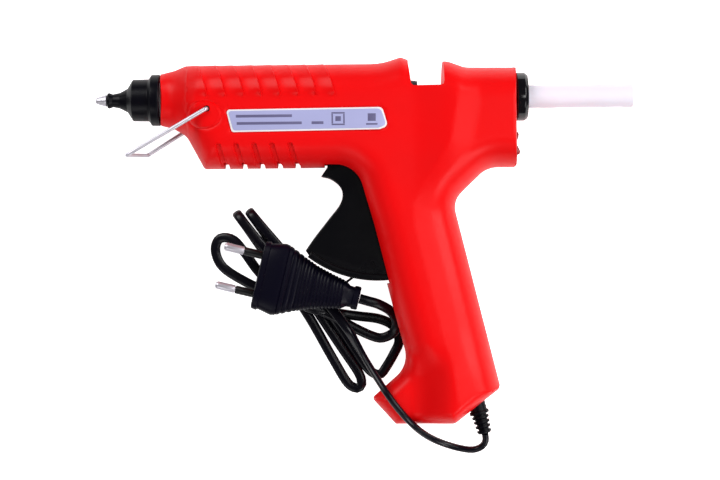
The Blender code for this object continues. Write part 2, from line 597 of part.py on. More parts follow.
def feed_parts(looks):
    """The carriage that pushes the stick, its links, grip lever and the stick."""
    x_pin, y_pin = LINK_REAR
    carriage = box("feed_carriage", (54.0, 57.0, MID - 7.8), (65.4, 76.0, MID + 7.8), looks["grey"])
    for side in (1, -1):
        low, high = sorted((MID + side * 3.6, MID + side * 8.0))
        boolean(carriage, box(f"carriage_ear_{side}", (46.5, 54.2, low), (54.5, 61.2, high)), 'UNION')
        boolean(carriage, cylinder(f"trunnion_{side}", *both_sides(x_pin, y_pin, 7, 15.2, side), 2.0,
                                   sides=16), 'UNION')
    boolean(carriage, cylinder("carriage_bore", (50, AXIS_Y, MID), (70, AXIS_Y, MID), STICK_R + 0.5))
    gx, gy = GRIP_PIVOT
    boolean(carriage, cylinder("grip_bore", (gx, gy, MID - 10), (gx, gy, MID + 10), 1.5 + GAP, sides=16))
    grip = [(gx - 2.6, gy - 1.6), (gx, gy - 2.9), (gx + 2.4, gy - 2.2), (gx + 2.9, gy + 2.4),
            (gx + 3.2, 61.4), (gx + 1.6, 62.2), (gx - 2.4, gy + 2.0)]
    lever = plate("grip_lever", grip, MID - 3.2, MID + 3.2, looks["steel"])
    boolean(lever, cylinder("lever_bore", (gx, gy, MID - 10), (gx, gy, MID + 10), 1.5 + GAP, sides=16))
    on_joint(lever, (gx, gy, MID))
    cylinder("grip_pin", (gx, gy, MID - 7.8), (gx, gy, MID + 7.8), 1.5, looks["steel"], 12)
    for name, side in (("link_left", 1), ("link_right", -1)):
        low, high = sorted((MID + side * LINK_IN, MID + side * LINK_OUT))
        link = plate(name, capsule(LINK_FRONT, LINK_REAR, 3.6), low, high, looks["steel"])
        boolean(link, cylinder(name + "_rear_hole", *both_sides(*LINK_REAR, 10, 20, side), 2.0 + GAP,
                               sides=16))
        boolean(link, cylinder(name + "_front_hole", *both_sides(*LINK_FRONT, 10, 20, side), 1.8 + 0.9,
                               sides=16))
    cylinder("glue_stick", (STICK_START, AXIS_Y, MID), (STICK_END, AXIS_Y, MID), STICK_R, looks["glue"], 32)
    turned("guide_ring", RING, looks["black"])


def stand(looks):
    """The wire stand: a U of wire whose bent ends turn in the housing's sides."""
    x, y = STAND_PIVOT
    ends = (x, y, MID + 17.0), (x, y, MID - 17.0)
    near, far = (-111.9, 41.4, MID + STAND_Z), (-106.6, 43.0, MID - STAND_Z)
    path = [ends[0], (x, y, MID + STAND_Z - 0.8), (x - 0.8, y - 0.5, MID + STAND_Z), near_bend(near, 0.9),
            (near[0], near[1], near[2] - 1.6), (far[0], far[1], far[2] + 1.6), near_bend(far, 0.9),
            (x - 0.8, y - 0.5, MID - STAND_Z), (x, y, MID - STAND_Z + 0.8), ends[1]]
    wire = rod("wire_stand", path, STAND_WIRE, looks["steel"], 2)
    on_joint(wire, (x, y, MID))


def near_bend(end, share):
    """A point a little before a leg's end, on the way from the pivot."""
    x, y = STAND_PIVOT
    reach = math.dist((x, y), end[:2])
    back = 1.6 * share / reach
    return (end[0] + (x - end[0]) * back, end[1] + (y - end[1]) * back, end[2])


def switch(looks):
    """The rocker switch in the rear face."""
    low, high = SWITCH_Y - 6.6, SWITCH_Y + 6.6
    frame = box("switch_body", (58.0, low, MID - 8.2), (72.5, high, MID + 8.2), looks["black"])
    well = box("switch_well", (66.5, SWITCH_Y - 6.0, MID - 7.2), (75.0, SWITCH_Y + 6.0, MID + 7.2))
    boolean(frame, well)
    tilt = math.radians(4.0)
    outline = []
    for along, out in ((-5.5, 2.2), (-5.5, -2.0), (5.5, -2.0), (5.5, 2.2), (0.0, 1.2)):
        outline.append((71.3 + out * math.cos(tilt) - along * math.sin(tilt) - 0.2,
                        SWITCH_Y + out * math.sin(tilt) + along * math.cos(tilt)))
    rocker = plate("rocker_button", outline, MID - 6.8, MID + 6.8, looks["dark_red"])
    on_joint(rocker, (70.5, SWITCH_Y, MID))


def mains_entry(looks):
    """The strain relief, the clamp over the cord inside the foot, and the terminal block."""
    way = (*RELIEF_WAY, 0.0)
    turned("strain_relief", RELIEF, looks["black"], (*RELIEF_AT, MID), way, 24)
    box("terminal_block", (44.5, -62.4, MID - 6.0), (54.5, -51.0, MID + 6.0), looks["grey"], 0.5)
    bar = box("cord_clamp", (44.0, -68.0, MID + 2.8), (56.0, -63.6, MID + 5.0), looks["grey"])
    for number, x in enumerate((45.8, 54.2), 1):
        boolean(bar, cylinder(f"clamp_hole_{number}", (x, -65.8, MID), (x, -65.8, MID + 9), 1.5, sides=12))
        profile = ((-6.0, 0.0), (-6.0, 1.1), (2.9, 1.1), (2.9, 2.3), (4.2, 1.9), (4.2, 0.0))
        solid_of_revolution(f"clamp_screw_{number}", [(a + 2.4, r) for a, r in profile], looks["steel"],
                            (x, -65.8, MID), (0, 0, 1), 12)


def plug_point(along, across):
    """A point of the plug's plane: along the plug from its face, and across it."""
    turn = math.radians(PLUG_TURN)
    return (PLUG_AT[0] + along * math.cos(turn) - across * math.sin(turn),
            PLUG_AT[1] + along * math.sin(turn) + across * math.cos(turn))


def cord_parts(looks):
    """The lead, the hank of cord with its tie, and the plug with its pins."""
    rod("power_cord", smooth_path(LEAD, 8.0), CORD_D, looks["black"])
    plate("cord_hank", [spot for spot, _, _ in fillet(HANK)], 0.2, HANK_TOP, looks["black"])
    stations = ((0.0, 16.4, 6.4), (1.2, 17.0, 7.2), (10.0, 18.4, 7.4), (15.0, 16.0, 7.2), (20.6, 13.4, 6.8),
                (42.0, 7.0, 6.2), (45.5, 5.4, 5.2), (48.5, 5.6, 5.4), (50.0, 5.6, 5.4))
    body = bmesh.new()
    rings = []
    for along, wide, thick in stations:
        ring = []
        for k in range(20):
            angle = 2 * math.pi * (k + 0.5) / 20
            c, s = math.cos(angle), math.sin(angle)
            x, y = plug_point(along, wide * math.copysign(abs(c) ** 0.6, c))
            ring.append(body.verts.new((x, y, PLUG_Z + thick * math.copysign(abs(s) ** 0.6, s))))
        rings.append(ring)
    for low, high in zip(rings, rings[1:]):
        for k in range(20):
            body.faces.new((low[k], low[(k + 1) % 20], high[(k + 1) % 20], high[k]))
    body.faces.new(rings[0])
    body.faces.new(rings[-1][::-1])
    bmesh.ops.recalc_face_normals(body, faces=body.faces)
    place("plug_body", mesh_of("plug_body", body), looks["black"])
    turn = math.radians(PLUG_TURN)
    way = (-math.cos(turn), -math.sin(turn), 0.0)
    for number, side in enumerate((1, -1), 1):
        at = (*plug_point(0.0, side * PIN_SPREAD), PLUG_Z)
        pin = ((0.3, 0.0), (0.3, 1.3), (9.3, 1.3), (9.3, PIN_R), (18.2, PIN_R), (PIN_LONG, 1.3),
               (PIN_LONG, 0.0))
        solid_of_revolution(f"plug_pin_{number}", pin, looks["steel"], at, way, 16)
        turned(f"pin_sleeve_{number}", ((0.3, 1.6), (0.3, PIN_R), (9.0, PIN_R), (9.0, 1.6)), looks["black"],
               at, way, 16)
    tie = ((-20.0, -27.2, 12.1), (-3.6, -15.4, 12.1), (-0.6, -12.8, 10.4), (0.0, -12.2, 1.2))
    rod("twist_tie", tie, 1.2, looks["black"], 1)


def finishes():
    """The part's materials by short name."""
    return {
        "red": material("red_housing_plastic", (0.80, 0.03, 0.015), 0.35),
        "dark_red": material("switch_plastic", (0.25, 0.01, 0.02), 0.25),
        "black": material("black_rubber", (0.012, 0.012, 0.013), 0.45),
        "grey": material("grey_plastic", (0.25, 0.25, 0.26), 0.5),
        "steel": material("bright_steel", (0.75, 0.75, 0.76), 0.2, 1.0),
        "aluminium": material("cast_aluminium", (0.62, 0.62, 0.64), 0.5, 1.0),
        "ceramic": material("heater_ceramic", (0.55, 0.42, 0.2), 0.6),
        "lead": material("lead_insulation", (0.8, 0.8, 0.78), 0.6),
        "glue": material("clear_glue", (0.9, 0.88, 0.84), 0.4),
        "label": material("silver_label", (0.62, 0.6, 0.68), 0.4),
    }


def main():
    """Build every piece of the glue gun."""
    looks = finishes()
    housing(looks)
    melt_parts(looks)
    trigger_parts(looks)
    feed_parts(looks)
    stand(looks)
    switch(looks)
    mains_entry(looks)
    cord_parts(looks)


clear_scene()
parts = collection("glue_gun")
cutters = collection("cutters")
main()
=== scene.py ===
"""Looks of a hot-melt glue gun lying on its right side, built round its packed assembly.

Frame: +X runs to the rear along the glue stick, +Y to the gun's top, +Z to its left side, and z = 0 is the
table. Sizes in the classes are millimetres, and every mesh is scaled to metres as it is made.
"""
import json
import logging
import math
from dataclasses import dataclass
from enum import Enum
from functools import lru_cache

import bmesh
import bpy
import numpy as np
from mathutils import Matrix, Vector
from mathutils.geometry import delaunay_2d_cdt

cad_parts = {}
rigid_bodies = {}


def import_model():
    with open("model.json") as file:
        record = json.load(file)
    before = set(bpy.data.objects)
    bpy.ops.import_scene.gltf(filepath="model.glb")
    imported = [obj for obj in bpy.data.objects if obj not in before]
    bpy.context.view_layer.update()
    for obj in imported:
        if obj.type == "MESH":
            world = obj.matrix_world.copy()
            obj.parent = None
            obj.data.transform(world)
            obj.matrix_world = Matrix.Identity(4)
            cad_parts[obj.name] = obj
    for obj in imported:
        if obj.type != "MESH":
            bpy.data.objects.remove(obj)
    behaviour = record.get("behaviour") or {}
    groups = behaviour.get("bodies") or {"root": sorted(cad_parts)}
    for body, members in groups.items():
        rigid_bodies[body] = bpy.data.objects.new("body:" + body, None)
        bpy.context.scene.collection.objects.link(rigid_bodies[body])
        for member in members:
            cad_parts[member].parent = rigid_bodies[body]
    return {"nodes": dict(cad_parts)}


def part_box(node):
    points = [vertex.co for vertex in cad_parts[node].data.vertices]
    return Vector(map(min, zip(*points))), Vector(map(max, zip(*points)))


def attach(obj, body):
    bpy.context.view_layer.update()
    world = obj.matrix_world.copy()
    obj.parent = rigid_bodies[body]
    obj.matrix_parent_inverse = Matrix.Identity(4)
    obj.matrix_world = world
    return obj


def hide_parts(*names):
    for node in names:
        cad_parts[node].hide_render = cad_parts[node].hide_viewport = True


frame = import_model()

log = logging.getLogger("glue_gun")
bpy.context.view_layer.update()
MM = 0.001
STICK_LOW, STICK_HIGH = (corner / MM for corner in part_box("glue_stick"))
AXIS_Y = (STICK_LOW.y + STICK_HIGH.y) / 2
MID = (STICK_LOW.z + STICK_HIGH.z) / 2
GAP = 0.3                     # clearance between neighbouring pieces
UP = Vector((0.0, 0.0, 1.0))
TRIGGER_PIVOT = (6.0, 36.0)
STAND_PIVOT = (-74.3, 63.0)
SWITCH_Y = 45.8
RELIEF_WAY = (0.248, -0.969, 0.0)   # the strain relief points this way out of the foot

Point = tuple[float, float, float]
Profile = list[tuple[float, float]]


class Body(Enum):
    """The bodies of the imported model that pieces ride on."""
    HOUSING = "housing"
    TRIGGER = "trigger"
    STICK = "stick"
    STAND = "stand"
    ROCKER = "rocker"


class Side(Enum):
    """The two sides of the gun, as the way each faces along Z."""
    LEFT = 1
    RIGHT = -1


class Edge(Enum):
    """Kinds of the housing's outer edge, each with the radius that rounds it into the flat side."""
    SIDE = 15.0
    FLAT = 1.6
    FOOT = 7.0
    TOE = 8.0


class Effect:
    """A shader node tree being filled, either a material's or a node group's."""

    def __init__(self, tree: bpy.types.NodeTree) -> None:
        """Keep the tree.

        Args:
            tree: the node tree to fill.
        """
        self.tree = tree

    def node(self, kind: str, **values: object) -> bpy.types.Node:
        """Add a node.

        Args:
            kind: the node's type name without its ShaderNode prefix.
            values: settings of the node, or with a name that starts in in_, of the input of that name.

        Returns:
            The new node.
        """
        made = self.tree.nodes.new("ShaderNode" + kind)
        for key, value in values.items():
            if key.startswith("in_"):
                made.inputs[key[3:].replace("_", " ")].default_value = value
            else:
                setattr(made, key, value)
        return made

    def link(self, source: bpy.types.NodeSocket, target: bpy.types.NodeSocket) -> None:
        """Join an output to an input."""
        self.tree.links.new(source, target)

    def blend(self, share: bpy.types.NodeSocket, low: object, high: object) -> bpy.types.NodeSocket:
        """Mix two colours.

        Args:
            share: the mask, 0 for low and 1 for high.
            low: a colour, or the output that gives it.
            high: a colour, or the output that gives it.

        Returns:
            The mixed colour's output.
        """
        mix = self.node("Mix", data_type='RGBA')
        self.link(share, mix.inputs["Factor"])
        for value, socket in ((low, mix.inputs[6]), (high, mix.inputs[7])):
            if isinstance(value, bpy.types.NodeSocket):
                self.link(value, socket)
            else:
                socket.default_value = (*value, 1.0)
        return mix.outputs[2]

    def math(self, operation: str, first: object, second: object) -> bpy.types.NodeSocket:
        """Combine two values.

        Args:
            operation: the Math node's operation.
            first: a number, or the output that gives it.
            second: a number, or the output that gives it.

        Returns:
            The result's output.
        """
        made = self.node("Math", operation=operation)
        for value, socket in ((first, made.inputs[0]), (second, made.inputs[1])):
            if isinstance(value, bpy.types.NodeSocket):
                self.link(value, socket)
            else:
                socket.default_value = value
        return made.outputs[0]

    def noise(self, place: bpy.types.NodeSocket, scale: object, detail: float) -> bpy.types.NodeSocket:
        """Add noise.

        Args:
            place: the coordinates to read it at.
            scale: how many features to a metre, or the output that gives it.
            detail: how many finer layers it has.

        Returns:
            The noise's value output.
        """
        made = self.node("TexNoise", in_Detail=detail)
        self.link(place, made.inputs["Vector"])
        if isinstance(scale, bpy.types.NodeSocket):
            self.link(scale, made.inputs["Scale"])
        else:
            made.inputs["Scale"].default_value = scale
        return made.outputs[0]

    def window(self, value: bpy.types.NodeSocket, low: float, high: float) -> bpy.types.NodeSocket:
        """Spread the part of a value between low and high over 0 to 1.

        Args:
            value: the value's output.
            low: what becomes 0.
            high: what becomes 1.

        Returns:
            The spread value's output.
        """
        made = self.node("MapRange")
        self.link(value, made.inputs["Value"])
        made.inputs["From Min"].default_value = low
        made.inputs["From Max"].default_value = high
        return made.outputs["Result"]


def new_group(name: str, takes: dict[str, str],
              gives: dict[str, str]) -> tuple[Effect, bpy.types.Node, bpy.types.Node]:
    """Start a shader node group.

    Args:
        name: the group's name.
        takes: its inputs, each name with its socket type.
        gives: its outputs, each name with its socket type.

    Returns:
        The group's effect, its input node and its output node.
    """
    tree = bpy.data.node_groups.new(name, "ShaderNodeTree")
    for label, kind in takes.items():
        tree.interface.new_socket(label, in_out='INPUT', socket_type="NodeSocket" + kind)
    for label, kind in gives.items():
        tree.interface.new_socket(label, in_out='OUTPUT', socket_type="NodeSocket" + kind)
    return Effect(tree), tree.nodes.new("NodeGroupInput"), tree.nodes.new("NodeGroupOutput")


@lru_cache(maxsize=None)
def moulded_grain() -> bpy.types.NodeTree:
    """The group for the fine grain of a mould, with the slow ripple that plastic cools to.

    Returns:
        A group with the inputs Place, Grains per metre and Ripple, and the output Height.
    """
    effect, takes, gives = new_group("moulded_grain", {"Place": "Vector", "Grains per metre": "Float",
                                                       "Ripple": "Float"}, {"Height": "Float"})
    place = takes.outputs["Place"]
    fine = effect.noise(place, takes.outputs["Grains per metre"], 2.0)
    slow = effect.noise(place, 90.0, 1.0)
    rippled = effect.math('MULTIPLY', slow, takes.outputs["Ripple"])
    effect.link(effect.math('ADD', fine, rippled), gives.inputs["Height"])
    return effect.tree


@lru_cache(maxsize=None)
def handled_surface() -> bpy.types.NodeTree:
    """The group for what handling leaves: blotches, dust in patches and fine scuffs.

    Returns:
        A group with the inputs Place, Colour, Roughness, Blotch, Dust and Scuff, and the outputs Colour and
        Roughness.
    """
    effect, takes, gives = new_group(
        "handled_surface", {"Place": "Vector", "Colour": "Color", "Roughness": "Float", "Blotch": "Float",
                            "Dust": "Float", "Scuff": "Float"}, {"Colour": "Color", "Roughness": "Float"})
    place = takes.outputs["Place"]
    patches = effect.window(effect.noise(place, 34.0, 3.0), 0.35, 0.72)
    blotch = effect.math('MULTIPLY', patches, takes.outputs["Blotch"])
    darker = effect.blend(blotch, takes.outputs["Colour"], (0.0, 0.0, 0.0))
    specks = effect.window(effect.noise(place, 900.0, 2.0), 0.66, 0.8)
    settled = effect.window(effect.noise(place, 60.0, 2.0), 0.45, 0.7)
    dust = effect.math('MULTIPLY', effect.math('MULTIPLY', specks, settled), takes.outputs["Dust"])
    effect.link(effect.blend(dust, darker, (0.55, 0.5, 0.46)), gives.inputs["Colour"])
    stretch = effect.node("Mapping", in_Scale=(60.0, 900.0, 900.0), in_Rotation=(0.0, 0.3, 0.5))
    effect.link(place, stretch.inputs["Vector"])
    lines = effect.window(effect.noise(stretch.outputs[0], 1.0, 2.0), 0.62, 0.74)
    scuff = effect.math('MULTIPLY', lines, takes.outputs["Scuff"])
    rubbed = effect.math('MULTIPLY', patches, 0.06)
    rough = effect.math('ADD', takes.outputs["Roughness"], effect.math('ADD', scuff, rubbed))
    effect.link(rough, gives.inputs["Roughness"])
    return effect.tree


@dataclass(frozen=True)
class Finish:
    """A procedural finish: a Principled shader with grain and the marks of handling."""
    name: str
    slot: str                 # the record's material slot
    colour: tuple[float, float, float]
    roughness: float
    metallic: float = 0.0
    specular: float = 0.5
    grain: float = 0.15       # strength of the grain's bump
    grain_size: float = 0.35  # mm
    ripple: float = 0.5
    blotch: float = 0.1
    dust: float = 0.06
    scuff: float = 0.05
    coat: float = 0.0
    coat_roughness: float = 0.12
    transmission: float = 0.0
    subsurface: float = 0.0
    subsurface_tint: tuple[float, float, float] = (1.0, 0.8, 0.75)
    subsurface_reach: float = 4.0   # mm

    def material(self) -> bpy.types.Material:
        """Make the finish's material.

        Returns:
            The material.
        """
        made = bpy.data.materials.new(self.name)
        made.use_nodes = True
        effect = Effect(made.node_tree)
        shader = made.node_tree.nodes["Principled BSDF"]
        for label, value in (("Metallic", self.metallic), ("Specular IOR Level", self.specular),
                             ("Coat Weight", self.coat), ("Coat Roughness", self.coat_roughness),
                             ("Transmission Weight", self.transmission),
                             ("Subsurface Weight", self.subsurface),
                             ("Subsurface Radius", self.subsurface_tint),
                             ("Subsurface Scale", self.subsurface_reach * MM)):
            shader.inputs[label].default_value = value
        place = effect.node("TexCoord").outputs["Object"]
        marks = effect.node("Group", node_tree=handled_surface())
        for label, value in (("Colour", (*self.colour, 1.0)), ("Roughness", self.roughness),
                             ("Blotch", self.blotch), ("Dust", self.dust), ("Scuff", self.scuff)):
            marks.inputs[label].default_value = value
        effect.link(place, marks.inputs["Place"])
        effect.link(marks.outputs["Colour"], shader.inputs["Base Color"])
        effect.link(marks.outputs["Roughness"], shader.inputs["Roughness"])
        grain = effect.node("Group", node_tree=moulded_grain())
        grain.inputs["Grains per metre"].default_value = 1.0 / (self.grain_size * MM)
        grain.inputs["Ripple"].default_value = self.ripple
        effect.link(place, grain.inputs["Place"])
        bump = effect.node("Bump", in_Strength=self.grain, in_Distance=0.1 * MM)
        effect.link(grain.outputs["Height"], bump.inputs["Height"])
        effect.link(bump.outputs["Normal"], shader.inputs["Normal"])
        return made


@lru_cache(maxsize=None)
def finished(finish: Finish) -> bpy.types.Material:
    """The one material of a finish."""
    return finish.material()


RED = Finish("red_housing_plastic", "housing", (0.84, 0.0022, 0.0034), 0.34, specular=0.15, grain=0.3,
             grain_size=0.45, blotch=0.05, dust=0.01)
SWITCH_RED = Finish("dark_red_translucent", "switch", (0.36, 0.008, 0.014), 0.2, specular=0.4, grain=0.04,
                    coat=0.3, transmission=0.2)
CAP_BLACK = Finish("black_cap_rubber", "rubber", (0.0018, 0.0015, 0.004), 0.3, specular=0.14, grain=0.12)
RING_BLACK = Finish("black_ring_plastic", "rubber", (0.0015, 0.0012, 0.0035), 0.1, specular=0.5, grain=0.03,
                    coat=0.2)
TRIGGER_BLACK = Finish("black_trigger_plastic", "rubber", (0.0012, 0.0011, 0.002), 0.27, specular=0.2,
                       grain=0.2, dust=0.02)
SWITCH_BLACK = Finish("black_switch_plastic", "black_plastic", (0.005, 0.005, 0.006), 0.3, specular=0.3,
                      grain=0.08)
PLUG_BLACK = Finish("black_plug_rubber", "cord", (0.0018, 0.0014, 0.007), 0.34, specular=0.12, grain=0.16)
CORD_BLACK = Finish("black_cord_sheath", "cord", (0.0018, 0.0014, 0.005), 0.24, specular=0.26, grain=0.06,
                    ripple=1.4)
GREY = Finish("grey_plastic", "grey_plastic", (0.25, 0.25, 0.26), 0.5)
STEEL = Finish("bright_steel", "steel", (0.66, 0.63, 0.7), 0.36, metallic=0.75, grain=0.05, scuff=0.15)
TIP_METAL = Finish("bright_tip_metal", "steel", (0.72, 0.69, 0.76), 0.34, metallic=0.75, grain=0.05,
                   blotch=0.2, scuff=0.2)
ALUMINIUM = Finish("cast_aluminium", "cast_aluminium", (0.6, 0.6, 0.61), 0.5, metallic=1.0, grain=0.5,
                   grain_size=0.8)
CERAMIC = Finish("heater_ceramic", "ceramic", (0.55, 0.42, 0.2), 0.6)
LEAD_WHITE = Finish("lead_insulation", "lead_insulation", (0.8, 0.8, 0.78), 0.55)
GLUE = Finish("clear_glue", "glue", (0.87, 0.82, 0.92), 0.28, specular=0.4, grain=0.08, grain_size=2.0,
              blotch=0.02, dust=0.01, transmission=0.0, subsurface=0.3)
SILVER = Finish("silver_label_film", "label", (0.44, 0.45, 0.74), 0.32, metallic=0.1, grain=0.05,
                grain_size=0.2, blotch=0.05)
PRINT = Finish("grey_print", "label", (0.13, 0.12, 0.24), 0.4, grain=0.02, dust=0.0)
# painted highlight: this pale colour on the label's rim stands in for the light caught by the label's
# bevelled edge
LABEL_RIM_HIGHLIGHT = Finish("label_rim_painted_highlight", "label", (0.86, 0.84, 0.86), 0.4, grain=0.04)


def put(name: str, data: bpy.types.ID, finish: Finish, body: Body, *nodes: str) -> bpy.types.Object:
    """Place a piece in the scene.

    Args:
        name: the piece's name.
        data: its mesh or curve, in place in the frame.
        finish: what it is made of.
        body: the body it rides on.
        nodes: the CAD nodes it stands for.

    Returns:
        The piece.
    """
    obj = bpy.data.objects.new(name, data)
    bpy.context.scene.collection.objects.link(obj)
    data.materials.append(finished(finish))
    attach(obj, body.value)
    if nodes:
        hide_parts(*nodes)
    log.info("%s rides on %s", name, body.value)
    return obj


def dress(node: str, finish: Finish) -> None:
    """Give a carried CAD node its finish.

    Args:
        node: the node's name.
        finish: its finish.
    """
    holder = frame["nodes"][node].material_slots[0]
    holder.link = 'OBJECT'
    holder.material = finished(finish)
    log.info("%s is dressed in %s", node, finish.name)


def shaded(mesh: bpy.types.Mesh, degrees: float = 32.0) -> bpy.types.Mesh:
    """Shade a mesh smooth with its sharp edges kept.

    Args:
        mesh: the mesh.
        degrees: the angle over which an edge is sharp.

    Returns:
        The same mesh.
    """
    mesh.shade_smooth()
    mesh.set_sharp_from_angle(angle=math.radians(degrees))
    return mesh


def mesh_of(name: str, body: bmesh.types.BMesh, degrees: float = 32.0) -> bpy.types.Mesh:
    """Turn a bmesh in millimetres into a mesh in metres.

    Args:
        name: the mesh's name.
        body: the bmesh, freed here.
        degrees: the angle over which an edge is sharp.

    Returns:
        The mesh.
    """
    bmesh.ops.recalc_face_normals(body, faces=body.faces)
    bmesh.ops.scale(body, vec=(MM, MM, MM), verts=body.verts)
    mesh = bpy.data.meshes.new(name)
    body.to_mesh(mesh)
    body.free()
    return shaded(mesh, degrees)


def fillet(corners: list[tuple], most_turn: float = 7.5) -> list[tuple[Vector, int, float]]:
    """Round the corners of a closed outline.

    Args:
        corners: (x, y, radius), with anything after that left alone.
        most_turn: the most that the line turns at one point, in degrees.

    Returns:
        Each point with its corner's index and how far round that corner it is, from 0 to 1.
    """
    points = []
    count = len(corners)
    for i, corner in enumerate(corners):
        here = Vector(corner[:2])
        back = Vector(corners[i - 1][:2]) - here
        ahead = Vector(corners[(i + 1) % count][:2]) - here
        half = back.angle(ahead) / 2
        if half > 1.565:
            points.append((here, i, 1.0))
            continue
        reach = min(corner[2] / math.tan(half), 0.49 * back.length, 0.49 * ahead.length)
        radius = reach * math.tan(half)
        first, last = here + back.normalized() * reach, here + ahead.normalized() * reach
        steps = max(1, math.ceil(math.degrees(math.pi - 2 * half) / most_turn))
        centre = here + (back.normalized() + ahead.normalized()).normalized() * (radius / math.sin(half))
        start, stop = first - centre, last - centre
        sweep = math.atan2(start.x * stop.y - start.y * stop.x, start.dot(stop))
        for k in range(steps + 1):
            points.append((centre + Matrix.Rotation(sweep * k / steps, 2) @ start, i, k / steps))
    return points


def rounded(corners: list[tuple], radius: float | None = None) -> list[tuple[float, float]]:
    """The points of an outline with round corners.

    Args:
        corners: (x, y, radius), or (x, y) when radius is given.
        radius: one radius for every corner.

    Returns:
        The points.
    """
    if radius is not None:
        corners = [(x, y, radius) for x, y in corners]
    return [tuple(point) for point, _, _ in fillet(corners, 12.0)]


def smooth_path(knots: list[tuple], spacing: float) -> list[Vector]:
    """Points on a smooth curve through knots.

    Args:
        knots: the points to pass through.
        spacing: about how far apart the points are.

    Returns:
        The points.
    """
    knots = [Vector(k) for k in knots]
    ends = [2 * knots[0] - knots[1], *knots, 2 * knots[-1] - knots[-2]]
    dense = []
    for a, b, c, d in zip(ends, ends[1:], ends[2:], ends[3:]):
        for step in range(24):
            t = step / 24
            dense.append(0.5 * (2 * b + (c - a) * t + (2 * a - 5 * b + 4 * c - d) * t * t
                                + (3 * b - a - 3 * c + d) * t ** 3))
    dense.append(knots[-1])
    kept = [dense[0]]
    for point in dense[1:-1]:
        if (point - kept[-1]).length >= spacing and (point - dense[-1]).length > spacing / 2:
            kept.append(point)
    return [*kept, dense[-1]]


def wire(name: str, points: list, diameter: float, sides: int = 6) -> bpy.types.Curve:
    """A round wire, cord or lead.

    Args:
        name: the curve's name.
        points: its centreline.
        diameter: its thickness.
        sides: the resolution of its section.

    Returns:
        The curve.
    """
    curve = bpy.data.curves.new(name, 'CURVE')
    curve.dimensions = '3D'
    curve.bevel_depth = diameter / 2 * MM
    curve.bevel_resolution = sides
    curve.use_fill_caps = True
    line = curve.splines.new('POLY')
    line.points.add(len(points) - 1)
    for knot, point in zip(line.points, points):
        knot.co = (*(value * MM for value in point), 1.0)
    line.use_smooth = True
    return curve


def loft(name: str, rings: list[list], closed: bool = False, degrees: float = 32.0) -> bpy.types.Mesh:
    """A skin over rings of points.

    Args:
        name: the mesh's name.
        rings: the rings, each a list of points, or of one point for a tip.
        closed: whether the last ring joins the first, else the ends are capped.
        degrees: the angle over which an edge is sharp.

    Returns:
        The mesh.
    """
    body = bmesh.new()
    rows = [[body.verts.new(point) for point in ring] for ring in rings]
    pairs = list(zip(rows, rows[1:])) + ([(rows[-1], rows[0])] if closed else [])
    for low, high in pairs:
        count = max(len(low), len(high))
        for k in range(count):
            corners = [low[k % len(low)], low[(k + 1) % len(low)], high[(k + 1) % len(high)],
                       high[k % len(high)]]
            unique = list(dict.fromkeys(corners))
            if len(unique) > 2:
                body.faces.new(unique)
    if not closed:
        for row in (rows[0], rows[-1]):
            if len(row) > 2:
                body.faces.new(row)
    return mesh_of(name, body, degrees)


def lathe(name: str, profile: Profile, at: Point | None = None, way: Point = (1.0, 0.0, 0.0),
          steps: int = 72, closed: bool = True) -> bpy.types.Mesh:
    """A turned piece.

    Args:
        name: the mesh's name.
        profile: its section as (distance along way, radius).
        at: the point that distances are from, on the stick's axis if not given.
        way: the direction of its axis.
        steps: how many flats it is turned in.
        closed: whether the section is a closed loop clear of the axis.

    Returns:
        The mesh.
    """
    at = Vector(at or (0.0, AXIS_Y, MID))
    turn = Vector(way).to_track_quat('Z', 'Y')
    rings = []
    for along, radius in profile:
        if radius < 1e-4:
            rings.append([at + turn @ Vector((0.0, 0.0, along))])
            continue
        angles = [2 * math.pi * k / steps for k in range(steps)]
        rings.append([at + turn @ Vector((radius * math.cos(a), radius * math.sin(a), along))
                      for a in angles])
    return loft(name, rings, closed)


def prism(name: str, outline: list[tuple[float, float]], low: float, high: float,
          edge: float = 0.0) -> bpy.types.Mesh:
    """A flat piece with rounded rims.

    Args:
        name: the mesh's name.
        outline: its outline, seen from the left.
        low: its lower height.
        high: its upper height.
        edge: the radius of its rims.

    Returns:
        The mesh.
    """
    body = bmesh.new()
    face = body.faces.new([body.verts.new((x, y, low)) for x, y in outline])
    grown = bmesh.ops.extrude_face_region(body, geom=[face])["geom"]
    top = [item for item in grown if isinstance(item, bmesh.types.BMVert)]
    bmesh.ops.translate(body, vec=(0, 0, high - low), verts=top)
    if edge:
        rims = [e for e in body.edges if abs(e.verts[0].co.z - e.verts[1].co.z) < 1e-6]
        bmesh.ops.bevel(body, geom=rims, offset=edge, segments=3, profile=0.5, affect='EDGES',
                        clamp_overlap=True)
    return mesh_of(name, body, 40.0)


def block(name: str, low: Point, high: Point, edge: float = 0.0) -> bpy.types.Mesh:
    """A block between two corners, with rounded edges.

    Args:
        name: the mesh's name.
        low: its lowest corner.
        high: its highest corner.
        edge: the radius of its edges.

    Returns:
        The mesh.
    """
    body = bmesh.new()
    bmesh.ops.create_cube(body, size=1.0)
    bmesh.ops.scale(body, vec=[b - a for a, b in zip(low, high)], verts=body.verts)
    bmesh.ops.translate(body, vec=[(a + b) / 2 for a, b in zip(low, high)], verts=body.verts)
    if edge:
        bmesh.ops.bevel(body, geom=body.edges[:], offset=edge, segments=3, profile=0.5, affect='EDGES')
    return mesh_of(name, body, 40.0)


def bar(name: str, start: Point, end: Point, radius: float, steps: int = 32) -> bpy.types.Mesh:
    """A round bar between two points.

    Args:
        name: the mesh's name.
        start: the middle of its first end.
        end: the middle of its last end.
        radius: its radius.
        steps: how many flats it is turned in.

    Returns:
        The mesh.
    """
    way = Vector(end) - Vector(start)
    profile = [(0.0, 0.0), (0.0, radius), (way.length, radius), (way.length, 0.0)]
    return lathe(name, profile, start, tuple(way.normalized()), steps, closed=False)


